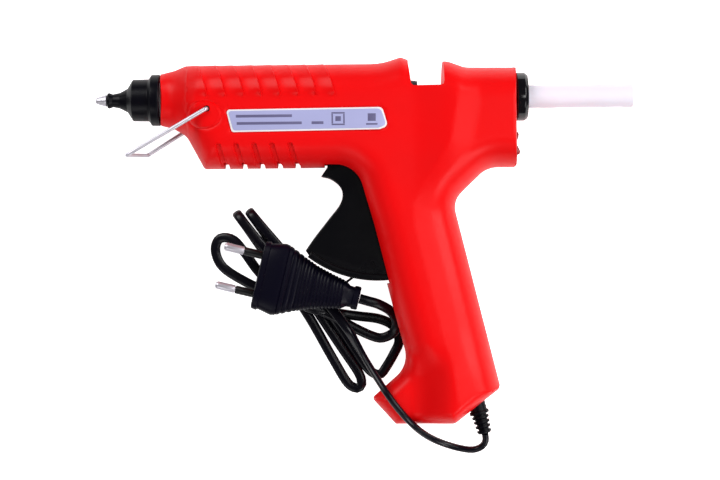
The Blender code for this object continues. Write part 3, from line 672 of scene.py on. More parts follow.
def joined(operation: str, mesh: bpy.types.Mesh, others: list[bpy.types.Mesh],
           degrees: float = 32.0) -> bpy.types.Mesh:
    """Cut a mesh by others, or join them to it.

    Args:
        operation: DIFFERENCE or UNION.
        mesh: the mesh to work on.
        others: the meshes that cut it or are joined to it.
        degrees: the angle over which an edge of the result is sharp.

    Returns:
        The resulting mesh.
    """
    group = bpy.data.collections.new("operands")
    bpy.context.scene.collection.children.link(group)
    target = bpy.data.objects.new("target", mesh)
    bpy.context.scene.collection.objects.link(target)
    for other in others:
        group.objects.link(bpy.data.objects.new("operand", other))
    step = target.modifiers.new("join", 'BOOLEAN')
    step.operation = operation
    step.solver = 'EXACT'
    step.operand_type = 'COLLECTION'
    step.collection = group
    bpy.context.view_layer.update()
    result = bpy.data.meshes.new_from_object(target.evaluated_get(bpy.context.evaluated_depsgraph_get()))
    for spare in [target, *group.objects]:
        bpy.data.objects.remove(spare, do_unlink=True)
    bpy.data.collections.remove(group)
    result.name = mesh.name
    return shaded(result, degrees)


def ramp(value: np.ndarray, start: float, end: float) -> np.ndarray:
    """A smooth step, 0 at start and 1 at end."""
    t = np.clip((value - start) / (end - start), 0.0, 1.0)
    return t * t * (3 - 2 * t)


def line_distance(spots: np.ndarray, line: np.ndarray, closed: bool = False) -> np.ndarray:
    """Distance of points from a line of straight stretches.

    Args:
        spots: the points, one to a row.
        line: the line's points, one to a row.
        closed: whether its end joins its start.

    Returns:
        The distances.
    """
    best = np.full(len(spots), 1e9)
    ends = np.roll(line, -1, 0) if closed else line[1:]
    for a, b in zip(line, ends):
        along = b - a
        t = np.clip(((spots - a) @ along) / max(along @ along, 1e-12), 0, 1)
        best = np.minimum(best, np.linalg.norm(spots - a - t[:, None] * along, axis=1))
    return best


def within(spots: np.ndarray, outline: np.ndarray) -> np.ndarray:
    """Which points lie inside a closed outline.

    Args:
        spots: the points, one to a row.
        outline: the outline's points, one to a row.

    Returns:
        True for each point inside.
    """
    odd = np.zeros(len(spots), bool)
    for (ax, ay), (bx, by) in zip(outline, np.roll(outline, -1, 0)):
        crosses = (ay > spots[:, 1]) != (by > spots[:, 1])
        at = ax + (spots[:, 1] - ay) / (by - ay if by != ay else 1e-9) * (bx - ax)
        odd ^= crosses & (spots[:, 0] < at)
    return odd


@dataclass
class Mouldings:
    """The details moulded into the housing's flat sides."""
    louvre_tops: tuple = (-79.6, -71.0, -62.4, -53.9, -45.3, -36.7, -28.2, -19.6)
    louvre_rise: float = 1.75
    louvre_long: float = 6.8          # of the slope up to each louvre's edge
    groove_tops: tuple = (-69.2, -60.8, -52.3, -43.9, -35.3)
    groove_top_y: float = 45.4
    groove_deep: float = 1.7
    groove_drop: float = 14.4         # from a groove's top to its foot, with its run sideways beside it
    groove_run: float = 3.9
    groove_half: tuple = (1.15, 1.5)  # of its floor and of its rim
    boss_centre: tuple = (-75.6, 60.2)
    boss_half: tuple = (7.85, 6.35)   # along and up
    boss_rise: float = 0.7
    boss_moat: float = 0.35           # depth of the groove round it
    channel_deep: float = 0.45        # of the channel round the label
    collar_deep: float = 0.45         # of the step down to the nose
    dimple_deep: float = 0.4
    collar_step_x: float = -84.0
    dimple: tuple = (30.1, 55.0)
    step_wide: float = 0.22   # how far a sharp step takes to fall
    crease: tuple = ((43.9, 84.0), (43.9, 65.6), (39.9, 47.0), (28.0, 27.8), (22.2, 16.2), (23.5, 5.0),
                     (36.6, -46.8), (43.3, -78.7), (45.6, -90.0))
    crease_slope: float = 0.2
    crease_wide: float = 10.5         # of the facet's slope
    whole_height: float = 7.0         # the details are whole where the side is at least this high
    louvre_height: float = 3.0        # and the louvres from this height

    def louvre_x(self, y: np.ndarray) -> np.ndarray:
        """How far right of its top each louvre's edge stands at a height."""
        return np.interp(-y, (-85.0, -79.5, -74.5, -69.0), (0.0, 2.4, 4.2, 5.5))

    def groove_ends(self, top: float) -> tuple[np.ndarray, np.ndarray]:
        """The two ends of a lower groove's middle line."""
        start = np.array((top, self.groove_top_y))
        return start, start + (self.groove_run, -self.groove_drop)

    def label_outline(self) -> np.ndarray:
        """The label's outline."""
        corners = ((-65.2, 62.4, 1.4), (8.3, 63.0, 2.5), (10.9, 54.0, 3.0), (7.0, 52.5, 2.0),
                   (-62.6, 51.8, 1.4))
        return np.array(rounded(list(corners)))

    def lines(self) -> list[np.ndarray]:
        """Lines that the housing's side needs points on, so that its steps are sharp.

        Returns:
            The lines, each an array of points.
        """
        made = []
        y = np.arange(69.0, 84.4, 1.1)
        for top in self.louvre_tops:
            for shift in (0.0, self.step_wide):
                made.append(np.stack([top + shift + self.louvre_x(y), y], 1))
        turns = np.linspace(0, 2 * math.pi, 41)
        for top in self.groove_tops:
            start, end = self.groove_ends(top)
            for radius in self.groove_half:
                arc = [start + radius * np.array((math.cos(a), math.sin(a)))
                       for a in np.linspace(0, math.pi, 9)]
                foot = end - start
                left = [arc[-1] + foot * t for t in np.linspace(0.1, 0.95, 8)]
                right = [arc[0] + foot * t for t in np.linspace(0.95, 0.1, 8)]
                made.append(np.array([*right, *arc, *left]))
        for share in (0.9, 1.0, 1.05, 1.13):
            made.append(np.array([(self.boss_centre[0] + share * self.boss_half[0] * math.cos(a),
                                   self.boss_centre[1] + share * self.boss_half[1] * math.sin(a))
                                  for a in turns]))
        tall = np.arange(50.0, 84.5, 1.2)
        for shift in (0.0, -self.step_wide):
            made.append(np.stack([np.full_like(tall, self.collar_step_x + shift), tall], 1))
        crease = np.array(self.crease)
        length = np.concatenate([[0], np.cumsum(np.linalg.norm(np.diff(crease, axis=0), axis=1))])
        at = np.arange(0, length[-1], 1.4)
        made.append(np.stack([np.interp(at, length, crease[:, 0]), np.interp(at, length, crease[:, 1])], 1))
        made.append(np.array([(self.dimple[0] + 0.8 * math.cos(a), self.dimple[1] + 0.8 * math.sin(a))
                              for a in turns[::4]]))
        return made

    def label_lines(self) -> list[np.ndarray]:
        """The two rims of the narrow channel round the label.

        Returns:
            The rims, each an array of points.
        """
        outline = self.label_outline()
        centre = outline.mean(0)
        made = []
        for out in (0.2, 0.75):
            grown = centre + (outline - centre) * (1 + out / np.array((36.0, 5.5)))
            made.append(np.vstack([grown, grown[:1]]))
        return made

    def facet(self, spots: np.ndarray, height: np.ndarray) -> np.ndarray:
        """How far the facet behind the crease falls below the housing's height.

        Args:
            spots: the points, one to a row.
            height: the smooth height at each.

        Returns:
            The fall at each.
        """
        crease = np.array(self.crease)
        behind = spots[:, 0] > np.interp(-spots[:, 1], -crease[:, 1], crease[:, 0])
        off = np.minimum(line_distance(spots, crease), self.crease_wide)
        return self.crease_slope * off * behind * np.clip(height / self.whole_height, 0, 1)

    def rise(self, spots: np.ndarray, height: np.ndarray, labelled: bool) -> np.ndarray:
        """Add the details to the housing's height.

        Args:
            spots: the points, one to a row.
            height: the smooth height at each.
            labelled: whether this side has the label's channel.

        Returns:
            The height with the details.
        """
        x, y = spots[:, 0], spots[:, 1]
        body = np.clip(height / self.whole_height, 0, 1)
        louvres = np.zeros(len(spots))
        edge = self.louvre_x(y)
        fade = ramp(y, 68.6, 70.4)
        for top in self.louvre_tops:
            off = x - top - edge
            scale = np.clip(1 + off / self.louvre_long, 0, 1) ** 1.3
            scale = np.where(off > 0, np.clip(1 - off / self.step_wide, 0, 1), scale)
            louvres = np.maximum(louvres, self.louvre_rise * scale * fade)
        change = louvres * np.clip(height / self.louvre_height, 0, 1) / np.maximum(body, 1e-6)
        for top in self.groove_tops:
            off = line_distance(spots, np.array(self.groove_ends(top)))
            change -= self.groove_deep * (1 - ramp(off, *self.groove_half))
        oval = np.hypot((x - self.boss_centre[0]) / self.boss_half[0],
                        (y - self.boss_centre[1]) / self.boss_half[1])
        change += self.boss_rise * (1 - ramp(oval, 0.9, 1.0))
        change -= self.boss_moat * ramp(oval, 1.0, 1.05) * (1 - ramp(oval, 1.05, 1.13))
        change -= self.collar_deep * (1 - ramp(x, self.collar_step_x - self.step_wide, self.collar_step_x))
        change -= self.dimple_deep * (1 - ramp(np.hypot(x - self.dimple[0], y - self.dimple[1]), 0.3, 0.8))
        if labelled:
            outline = self.label_outline()
            off = np.where(within(spots, outline), 0.0, line_distance(spots, outline, closed=True))
            change -= self.channel_deep * ramp(off, 0.05, 0.2) * (1 - ramp(off, 0.5, 0.7))
        return height + change * body


@dataclass
class Housing:
    """The two moulded halves of the housing, and the label on the left one."""
    wall: float = 2.4
    # Half the thickness of the gun at its rear, barrel, collar, handle and toe.
    rear_half: float = 22.5
    barrel_half: float = 19.5
    collar_half: float = 12.4
    handle_half: float = 20.5
    toe_half: float = 11.5
    spacing: float = 1.5      # between the points of the outer skin
    notch: tuple = (21.8, 37.6, 73.1)   # front, rear and floor
    bores: tuple = ((-100.0, -90.0, 10.2), (-94.9, -14.0, 10.3), (-20.0, 25.7, 8.8), (18.0, 71.0, 6.2),
                    (67.0, 75.0, 9.0), (66.0, 69.9, 11.1))    # start, end and radius, round the stick's axis
    vents: int = 5
    vent_start: float = -67.2
    vent_pitch: float = 8.45
    vent_wide: float = 2.6
    cavity_spacing: float = 5.0
    screws: tuple = ((-66.0, 42.0), (-28.0, 42.0), (40.0, 46.0), (34.0, -36.0), (24.0, -74.0))
    # Plain bars in place of the label's print: left end, lower edge, length and height.
    bars: tuple = ((-60.6, 58.6, 26.4, 1.3), (-60.2, 55.2, 30.6, 1.3), (-25.0, 55.2, 5.6, 1.3),
                   (-15.6, 54.6, 6.2, 0.7), (-15.6, 60.0, 6.2, 0.7), (-15.6, 55.4, 0.7, 4.5),
                   (-10.1, 55.4, 0.7, 4.5), (-13.8, 56.5, 2.6, 2.3), (0.6, 54.6, 5.4, 0.8),
                   (1.4, 56.4, 3.8, 3.6))
    corners: tuple = (
        (-97.5, 80.9, 0.5, Edge.SIDE), (-90.5, 82.6, 6.0, Edge.SIDE), (-85.5, 84.7, 5.0, Edge.SIDE),
        (8.0, 84.8, 30.0, Edge.SIDE), (17.4, 87.9, 3.0, Edge.SIDE), (22.5, 86.0, 2.0, Edge.SIDE),
        (40.0, 85.6, 8.0, Edge.SIDE), (48.0, 82.7, 12.0, Edge.SIDE), (72.3, 82.5, 1.2, Edge.FLAT),
        (72.3, 34.7, 1.2, Edge.SIDE), (58.4, 34.7, 13.0, Edge.SIDE), (41.9, 18.8, 10.0, Edge.SIDE),
        (63.9, -70.8, 3.4, Edge.FOOT), (41.6, -87.8, 4.0, Edge.FOOT), (13.4, -87.8, 1.2, Edge.TOE),
        (2.2, -75.3, 1.6, Edge.TOE), (20.2, -59.6, 13.0, Edge.SIDE), (13.4, -34.5, 60.0, Edge.SIDE),
        (3.0, 7.2, 60.0, Edge.SIDE), (-5.3, 35.3, 12.0, Edge.SIDE), (-76.9, 35.1, 2.0, Edge.SIDE),
        (-85.4, 51.0, 8.0, Edge.SIDE), (-92.0, 54.9, 6.0, Edge.SIDE), (-97.5, 56.1, 0.5, Edge.FLAT),
    )

    def half_width(self, x: np.ndarray, y: np.ndarray) -> np.ndarray:
        """How far the flat side stands from the parting plane.

        Args:
            x: the points' places along the gun.
            y: their places up the gun.

        Returns:
            The distance at each.
        """
        barrel = self.barrel_half + (self.rear_half - self.barrel_half) * ramp(x, 22.0, 44.0)
        barrel = barrel - (self.barrel_half - self.collar_half) * ramp(-x, 78.0, 94.0)
        foot = self.handle_half + (self.rear_half - self.handle_half) * ramp(-y, 40, 66) * ramp(x, 24, 40)
        foot = foot - (self.handle_half - self.toe_half) * ramp(-x, -42.0, -20.0) * ramp(-y, 48.0, 66.0)
        blend = ramp(-y, -34.0, -2.0)
        return barrel * (1 - blend) + foot * blend

    def reach(self, kind: Edge, x: np.ndarray) -> np.ndarray:
        """The radius that rounds an edge into the flat side."""
        if kind is not Edge.SIDE:
            return np.full_like(x, kind.value)
        return Edge.SIDE.value - (Edge.SIDE.value - self.collar_half) * ramp(-x, 80.0, 94.0)

    def inset(self, depth: float) -> list[tuple]:
        """The outline's corners moved inwards.

        Args:
            depth: how far.

        Returns:
            The corners.
        """
        moved = []
        for i, corner in enumerate(self.corners):
            here = Vector(corner[:2])
            before = (here - Vector(self.corners[i - 1][:2])).normalized()
            after = (Vector(self.corners[(i + 1) % len(self.corners)][:2]) - here).normalized()
            turn = before.x * after.y - before.y * after.x
            inward = Vector((before.y + after.y, -before.x - after.x)).normalized()
            shift = depth / math.cos(before.angle(after) / 2)
            radius = corner[2] + depth if turn > 0 else max(corner[2] - depth, 0.4)
            moved.append((*(here + inward * shift), radius, corner[3]))
        return moved

    def outline(self, corners: list[tuple], spacing: float) -> tuple[np.ndarray, list[Edge]]:
        """Points along the outline.

        Args:
            corners: the outline's corners.
            spacing: the most between two points on a straight stretch.

        Returns:
            The points, and the kind of the edge after each.
        """
        turned = fillet(list(corners), 7.5 if spacing < 3 else 24.0)
        points, kinds = [], []
        for k, (point, i, share) in enumerate(turned):
            following = turned[(k + 1) % len(turned)][0]
            kind = corners[i][3]
            if share < 1:
                kind = min(corners[i - 1][3], kind, key=lambda edge: edge.value)
            pieces = max(1, round((following - point).length / spacing))
            for part in range(pieces):
                spot = point.lerp(following, part / pieces)
                if not points or (Vector(points[-1]) - spot).length > 0.05:
                    points.append(tuple(spot))
                    kinds.append(kind)
        return np.array(points), kinds

    def height(self, spots: np.ndarray, outline: np.ndarray, kinds: list[Edge], less: float) -> np.ndarray:
        """Height of the rounded side over the parting plane.

        Args:
            spots: the points, one to a row.
            outline: the outline's points.
            kinds: the kind of the edge after each of them.
            less: how much smaller than the outer skin this one is.

        Returns:
            The heights.
        """
        x, y = spots[:, 0], spots[:, 1]
        width = self.half_width(x, y) - less
        height = width.copy()
        for a, b, kind in zip(outline, np.roll(outline, -1, 0), kinds):
            off = line_distance(spots, np.array((a, b)))
            u = np.clip(off / np.maximum(self.reach(kind, x) - less, 0.5), 0, 1)
            height = np.minimum(height, width * (1 - (1 - u) ** 2.2) ** (1 / 2.2))
        return height

    def spread(self, outline: np.ndarray, reaches: np.ndarray, spacing: float,
               lines: list[np.ndarray]) -> tuple[np.ndarray, list[tuple[int, int]]]:
        """The points that a side is meshed through.

        Args:
            outline: the outline's points.
            reaches: the edge radius at each of them.
            spacing: the distance between points inside.
            lines: lines that need points on them.

        Returns:
            The points, the outline's first, and pairs of them that share an edge.
        """
        points = [tuple(p) for p in outline]
        cells: dict[tuple[int, int], list[tuple[float, float]]] = {}
        cell = 2.0 * spacing

        def room(spot: np.ndarray, near: float) -> bool:
            """Whether no kept point is as near as this."""
            i, j = int(spot[0] // cell), int(spot[1] // cell)
            return all(math.dist(spot, other) > near for a in (-1, 0, 1) for b in (-1, 0, 1)
                       for other in cells.get((i + a, j + b), ()))

        def keep(spot: np.ndarray) -> int:
            """Keep a point, and return its index."""
            cells.setdefault((int(spot[0] // cell), int(spot[1] // cell)), []).append(tuple(spot))
            points.append(tuple(spot))
            return len(points) - 1

        pairs = []
        for line in lines:
            fits = within(line, outline) & (line_distance(line, outline, closed=True) > 0.35)
            last = None
            for spot, fit in zip(line, fits):
                here = keep(spot) if fit and room(spot, 0.04) else None
                if here is not None and last is not None:
                    pairs.append((last, here))
                last = here
        tangent = np.roll(outline, -1, 0) - np.roll(outline, 1, 0)
        normal = np.stack([tangent[:, 1], -tangent[:, 0]], 1) / np.linalg.norm(tangent, axis=1)[:, None]
        angles = np.arange(9.0, 91.0, 9.0) if spacing < 3 else np.array((22.0, 45.0, 68.0, 90.0))
        before = np.zeros(len(outline))
        for angle in np.radians(angles):
            depth = reaches * (1 - math.cos(angle))
            ring = outline + normal * depth[:, None]
            fits = within(ring, outline) & (line_distance(ring, outline, closed=True) > 0.93 * depth)
            near = np.clip(0.6 * (depth - before), 0.12, 0.62 * spacing)
            last = None
            for spot, fit, gap in zip(ring, fits, near):
                if not fit or not room(spot, gap):
                    continue
                here = keep(spot)
                if last is not None and spacing > 3 and math.dist(points[last], spot) < 1.3 * spacing:
                    pairs.append((last, here))
                last = here
            before = depth
        grid = np.array([(x, y) for x in np.arange(-130.0, 130.0, spacing)
                         for y in np.arange(-95.0, 95.0, spacing)])
        grid = grid[within(grid, outline)]
        grid = grid[line_distance(grid, outline, closed=True) > min(4.0, 1.8 * spacing)]
        for spot in grid:
            if room(spot, 0.62 * spacing):
                keep(spot)
        return np.array(points), pairs

    def side_solid(self, name: str, side: Side, corners: list[tuple], spacing: float, less: float,
                   below: float, outer: bool) -> bpy.types.Mesh:
        """The solid between the parting plane and one rounded side.

        Args:
            name: the mesh's name.
            side: which side.
            corners: the outline's corners.
            spacing: the distance between its points.
            less: how much smaller than the outer skin it is.
            below: how far it runs past the parting plane.
            outer: whether it is an outer skin, with the details moulded into it.

        Returns:
            The mesh.
        """
        outline, kinds = self.outline(corners, spacing)
        reaches = np.array([max(self.reach(kind, np.array([p[0]]))[0] - less, 0.5)
                            for kind, p in zip(kinds, outline)])
        mouldings = Mouldings()
        lines = []
        if outer:
            lines = mouldings.lines() + (mouldings.label_lines() if side is Side.LEFT else [])
        points, pairs = self.spread(outline, reaches, spacing, lines)
        count = len(outline)
        spots, _, faces, origin, _, _ = delaunay_2d_cdt([Vector(p) for p in points], pairs,
                                                        [list(range(count))], 1, 1e-6)
        spots = np.array([tuple(v) for v in spots])
        heights = self.height(spots, outline, kinds, less)
        heights -= mouldings.facet(spots, heights)
        if outer:
            heights = mouldings.rise(spots, heights, side is Side.LEFT)
        body = bmesh.new()
        verts = []
        for (x, y), height, source in zip(spots, heights, origin):
            on_rim = any(s < count for s in source)
            z = GAP / 2 if on_rim else max(height, GAP / 2 + 0.05)
            verts.append(body.verts.new((x, y, MID + side.value * z)))
        for face in faces:
            body.faces.new([verts[i] for i in face])
        edges = [edge for edge in body.edges if len(edge.link_faces) == 1]
        if below:
            grown = bmesh.ops.extrude_edge_only(body, edges=edges)["geom"]
            lower = [item for item in grown if isinstance(item, bmesh.types.BMVert)]
            bmesh.ops.translate(body, vec=(0, 0, -side.value * below), verts=lower)
            edges = [edge for edge in body.edges if len(edge.link_faces) == 1]
        bmesh.ops.edgeloop_fill(body, edges=edges)
        return mesh_of(name, body, 38.0)

    def across(self, name: str, side: Side, at: tuple, low: float, high: float,
               radius: float) -> bpy.types.Mesh:
        """A round bar across the gun, between two distances from the parting plane."""
        return bar(name, (*at, MID + side.value * low), (*at, MID + side.value * high), radius)

    def cavity(self, side: Side) -> bpy.types.Mesh:
        """The room inside one half, with the screw bosses and the saddles left standing.

        Args:
            side: which half.

        Returns:
            The mesh that hollows the half.
        """
        room = self.side_solid("cavity", side, self.inset(self.wall), self.cavity_spacing, self.wall, 3.0,
                               False)
        left, right, floor = self.notch
        kept = [self.across("boss", side, at, -4.0, 30.0, 3.4) for at in self.screws]
        kept.append(self.across("pivot_boss", side, TRIGGER_PIVOT, 12.8, 30.0, 3.4))
        kept.append(block("notch_walls", (left - 2.2, floor - 2.2, -5.0), (right + 2.2, 95.0, 50.0)))
        kept += [block("saddle", (x, 52.0, -5.0), (x + 2.0, 90.0, 50.0)) for x in (-90.0, -26.0)]
        return joined('DIFFERENCE', room, kept)

    def passages(self) -> list[bpy.types.Mesh]:
        """Everything cut through both halves.

        Returns:
            The cutting meshes.
        """
        left, right, floor = self.notch
        notch = prism("notch", [(left - 1.0, 95.0), (left - 1.0, 84.0), (left + 0.2, floor + 1.0),
                                (left + 1.2, floor), (right - 1.6, floor), (right - 0.4, floor + 0.5),
                                (right, floor + 2.0), (right, 95.0)], -5.0, 50.0)
        cut = [notch]
        for start, end, radius in self.bores:
            cut.append(bar("bore", (start, AXIS_Y, MID), (end, AXIS_Y, MID), radius, 64))
        cut.append(block("pocket", (-76.0, 44.0, MID - 9.2), (-14.0, AXIS_Y, MID + 9.2)))
        cut.append(block("switch", (66.0, SWITCH_Y - 6.9, MID - 8.5), (75.0, SWITCH_Y + 6.9, MID + 8.5)))
        cut.append(bar("relief", (51.5, -74.7, MID), (55.2, -89.1, MID), 4.3))
        opening = [(-19.4, 25.0), (-19.4, 40.2), (-2.0, 40.2), (4.0, 31.0), (13.0, -10.0), (15.0, -20.5),
                   (-2.0, -20.5), (-6.0, 10.0)]
        cut.append(prism("opening", opening, MID - 9.0, MID + 9.0))
        for number in range(self.vents):
            start = self.vent_start + self.vent_pitch * number
            cut.append(block("vent", (start, 33.0, MID - 10.0), (start + self.vent_wide, 38.4, MID + 10.0)))
        return cut

    def build(self) -> None:
        """Build both halves and the label."""
        for side, name in ((Side.LEFT, "left_housing"), (Side.RIGHT, "right_housing")):
            skin = self.side_solid(name + "_skin", side, list(self.corners), self.spacing, 0.0, 0.0, True)
            cut = [self.cavity(side), *self.passages()]
            cut.append(self.across("pivot", side, TRIGGER_PIVOT, -1.0, 17.6, 2.3))
            cut.append(self.across("stand", side, STAND_PIVOT, 12.0, 25.0, 1.5))
            for at in self.screws:
                if side is Side.LEFT:
                    cut.append(self.across("screw", side, at, -1.0, 11.0, 1.75))
                else:
                    cut.append(self.across("screw", side, at, -1.0, 7.0, 1.75))
                    cut.append(self.across("sink", side, at, 6.0, 30.0, 3.0))
            half = joined('DIFFERENCE', skin, cut, 38.0)
            put(name + "_skin", half, RED, Body.HOUSING, name)
        self.label()

    def label(self) -> None:
        """Build the label: a white rim round a silvered field, the rim's white a painted highlight for the
        light on the label's bevelled edge.
        """
        outline = Mouldings().label_outline()
        centre = outline.mean(0)
        inner = centre + (outline - centre) * (1 - 0.75 / np.array((36.0, 5.5)))
        z = MID + self.barrel_half
        # the rim is painted pale as the highlight on the label's bevelled edge
        edge = prism("label_edge", [tuple(p) for p in outline], z - 0.1, z + 0.32, 0.08)
        put("label_edge", edge, LABEL_RIM_HIGHLIGHT, Body.HOUSING, "label")
        field = prism("label_field", [tuple(p) for p in inner], z + 0.1, z + 0.4, 0.06)
        put("label_field", field, SILVER, Body.HOUSING)
        for number, (x, y, long, tall) in enumerate(self.bars, 1):
            print_bar = block("label_bar", (x, y, z + 0.38), (x + long, y + tall, z + 0.43), 0.02)
            put(f"label_bar_{number}", print_bar, PRINT, Body.HOUSING)


@dataclass
class MeltEnd:
    """The nozzle and its cap, the glue stick and the ring it enters by."""
    tip: tuple = ((-128.8, 0.8), (-128.8, 1.35), (-128.0, 1.7), (-123.8, 2.95), (-123.6, 2.2), (-116.6, 2.2),
                  (-113.6, 4.4), (-109.0, 4.4), (-109.0, 7.4), (-104.2, 7.4), (-104.2, 4.6), (-96.0, 4.6),
                  (-96.0, 0.8))
    cap: tuple = ((-123.3, 2.6), (-123.3, 3.5), (-122.3, 3.8), (-120.6, 3.1), (-117.3, 3.8), (-113.6, 5.7),
                  (-110.9, 10.0), (-103.3, 10.15), (-101.9, 12.25), (-97.8, 12.3), (-97.8, 9.2),
                  (-110.3, 9.2), (-114.4, 4.8), (-116.9, 2.6))
    ring: tuple = ((67.4, 6.3), (67.4, 10.8), (69.6, 10.8), (69.6, 8.7), (72.6, 8.7), (72.6, 11.6),
                   (76.6, 11.6), (78.2, 10.4), (78.2, 6.3))
    stick_rings: int = 40
    stick_waver: float = 0.06   # how unevenly the stick is cast

    def build(self) -> None:
        """Build the pieces on the stick's axis."""
        put("nozzle_tip_turned", lathe("nozzle_tip_turned", rounded(list(self.tip), 0.25)), TIP_METAL,
            Body.HOUSING, "nozzle_tip")
        put("nozzle_cap_moulded", lathe("nozzle_cap_moulded", rounded(list(self.cap), 0.7)), CAP_BLACK,
            Body.HOUSING, "nozzle_cap")
        put("guide_ring_moulded", lathe("guide_ring_moulded", rounded(list(self.ring), 0.6)), RING_BLACK,
            Body.HOUSING, "guide_ring")
        low, high = STICK_LOW.x, STICK_HIGH.x
        radius = (STICK_HIGH.y - STICK_LOW.y) / 2
        cut = [(0.4, 0.0), (0.15, radius * 0.7), (0.0, radius - 0.35), (0.3, radius)]
        profile = [(low + along, size) for along, size in cut]
        profile += [(low + (high - low) * k / self.stick_rings,
                     radius - self.stick_waver * (1 + math.sin(k * 1.7))) for k in range(1, self.stick_rings)]
        profile += [(high - along, size) for along, size in reversed(cut)]
        stick = lathe("glue_stick_cast", profile, closed=False)
        put("glue_stick_cast", stick, GLUE, Body.STICK, "glue_stick")


@dataclass
class Trigger:
    """The trigger, with its rim and its two arms."""
    pivot: tuple = TRIGGER_PIVOT
    link: tuple = (22.0, 64.0)
    rim: float = 55.0
    half: float = 7.2
    rim_half: float = 8.2
    arms: tuple = (9.6, 12.4)

    def arc(self, radius: float, start: float, end: float) -> list[tuple[float, float]]:
        """Points on an arc about the pivot."""
        return [(self.pivot[0] + radius * math.cos(a), self.pivot[1] + radius * math.sin(a))
                for a in np.linspace(start, end, 32)]

    def arm(self, side: int) -> bpy.types.Mesh:
        """One of the arms that push the links, a bar with round ends.

        Args:
            side: 1 for the left arm and -1 for the right one.

        Returns:
            The mesh.
        """
        start, end = Vector(self.pivot), Vector(self.link)
        heading = math.atan2(end.y - start.y, end.x - start.x)
        points = []
        for centre, size, turn in ((start, 5.0, math.pi / 2), (end, 3.8, -math.pi / 2)):
            for angle in np.linspace(heading + turn, heading + turn + math.pi, 17):
                points.append(tuple(centre + Vector((math.cos(angle), math.sin(angle))) * size))
        low, high = sorted((MID + side * self.arms[0], MID + side * self.arms[1]))
        return prism("arm", points, low, high)

    def build(self) -> None:
        """Build the trigger."""
        first, last = math.radians(-128.0), math.radians(-82.2)
        knots = [(-17.6, 41.0), (-18.1, 35.2), (-21.0, 31.0), (-16.5, 29.7), (-12.3, 26.3), (-10.9, 22.1),
                 (-12.4, 17.2), (-17.3, 10.9), (-24.5, 1.8), (-28.8, -4.3)]
        front = [*knots[:2]] + [tuple(p)[:2] for p in smooth_path([(*k, 0.0) for k in knots[2:]], 0.9)]
        outline = [*front, *self.arc(self.rim - 0.8, first + 0.01, last - 0.01), (13.0, 10.0), (12.2, 34.0),
                   (6.0, 41.0)]
        body = prism("trigger_body", outline, MID - self.half, MID + self.half, 1.1)
        lip = prism("trigger_lip", [*self.arc(self.rim, first, last), *self.arc(self.rim - 3.3, last, first)],
                    MID - self.rim_half, MID + self.rim_half, 0.7)
        z = self.arms[1]
        hub = bar("hub", (*self.pivot, MID - z), (*self.pivot, MID + z), 6.0)
        whole = joined('UNION', body, [lip, hub, self.arm(1), self.arm(-1)])
        bores = [bar("bore", (*self.pivot, MID - 20.0), (*self.pivot, MID + 20.0), 2.3)]
        bores += [bar("bore", (*self.link, MID + side * 8.0), (*self.link, MID + side * 20.0), 2.1)
                  for side in (1, -1)]
        whole = joined('DIFFERENCE', whole, bores, 38.0)
        put("trigger_moulded", whole, TRIGGER_BLACK, Body.TRIGGER, "trigger")


@dataclass
class WireStand:
    """The folding stand of bent wire."""
    pivot: tuple = STAND_PIVOT
    near: tuple = (-111.9, 41.4)
    far: tuple = (-106.6, 43.0)
    out: float = 21.4         # of the legs from the parting plane
    diameter: float = 2.0
    bend: float = 1.4

    def build(self) -> None:
        """Build the wire with its bends rounded."""
        x, y = self.pivot
        knots = [Vector((x, y, MID + 17.0)), Vector((x, y, MID + self.out)),
                 Vector((*self.near, MID + self.out)), Vector((*self.far, MID - self.out)),
                 Vector((x, y, MID - self.out)), Vector((x, y, MID - 17.0))]
        path = [knots[0]]
        for back, here, ahead in zip(knots, knots[1:], knots[2:]):
            start = here + (back - here).normalized() * self.bend
            end = here + (ahead - here).normalized() * self.bend
            for t in np.linspace(0, 1, 9):
                path.append((1 - t) ** 2 * start + 2 * t * (1 - t) * here + t * t * end)
        path.append(knots[-1])
        put("wire_stand_bent", wire("wire_stand_bent", path, self.diameter), STEEL, Body.STAND, "wire_stand")


@dataclass
class Switch:
    """The rocker switch in the rear face."""
    y: float = SWITCH_Y
    tilt: float = 4.0

    def build(self) -> None:
        """Build the frame and the rocker."""
        low, high = self.y - 6.6, self.y + 6.6
        frame_block = block("switch_frame", (58.0, low, MID - 8.2), (72.5, high, MID + 8.2), 0.4)
        well = block("well", (66.5, self.y - 6.0, MID - 7.2), (75.0, self.y + 6.0, MID + 7.2))
        hollowed = joined('DIFFERENCE', frame_block, [well])
        put("switch_frame", hollowed, SWITCH_BLACK, Body.HOUSING, "switch_body")
        lean = math.radians(self.tilt)
        shape = [(-5.5, 1.5), (-5.2, 2.3), (-4.2, 2.7), (-3.0, 2.4), (-1.2, 1.6), (0.0, 1.3), (1.2, 1.6),
                 (3.0, 2.4), (4.2, 2.7), (5.2, 2.3), (5.5, 1.5), (5.5, -2.0), (-5.5, -2.0)]
        outline = [(71.1 + out * math.cos(lean) - along * math.sin(lean),
                    self.y + out * math.sin(lean) + along * math.cos(lean)) for along, out in shape]
        rocker = prism("rocker_moulded", outline, MID - 6.8, MID + 6.8, 0.3)
        put("rocker_moulded", rocker, SWITCH_RED, Body.ROCKER, "rocker_button")


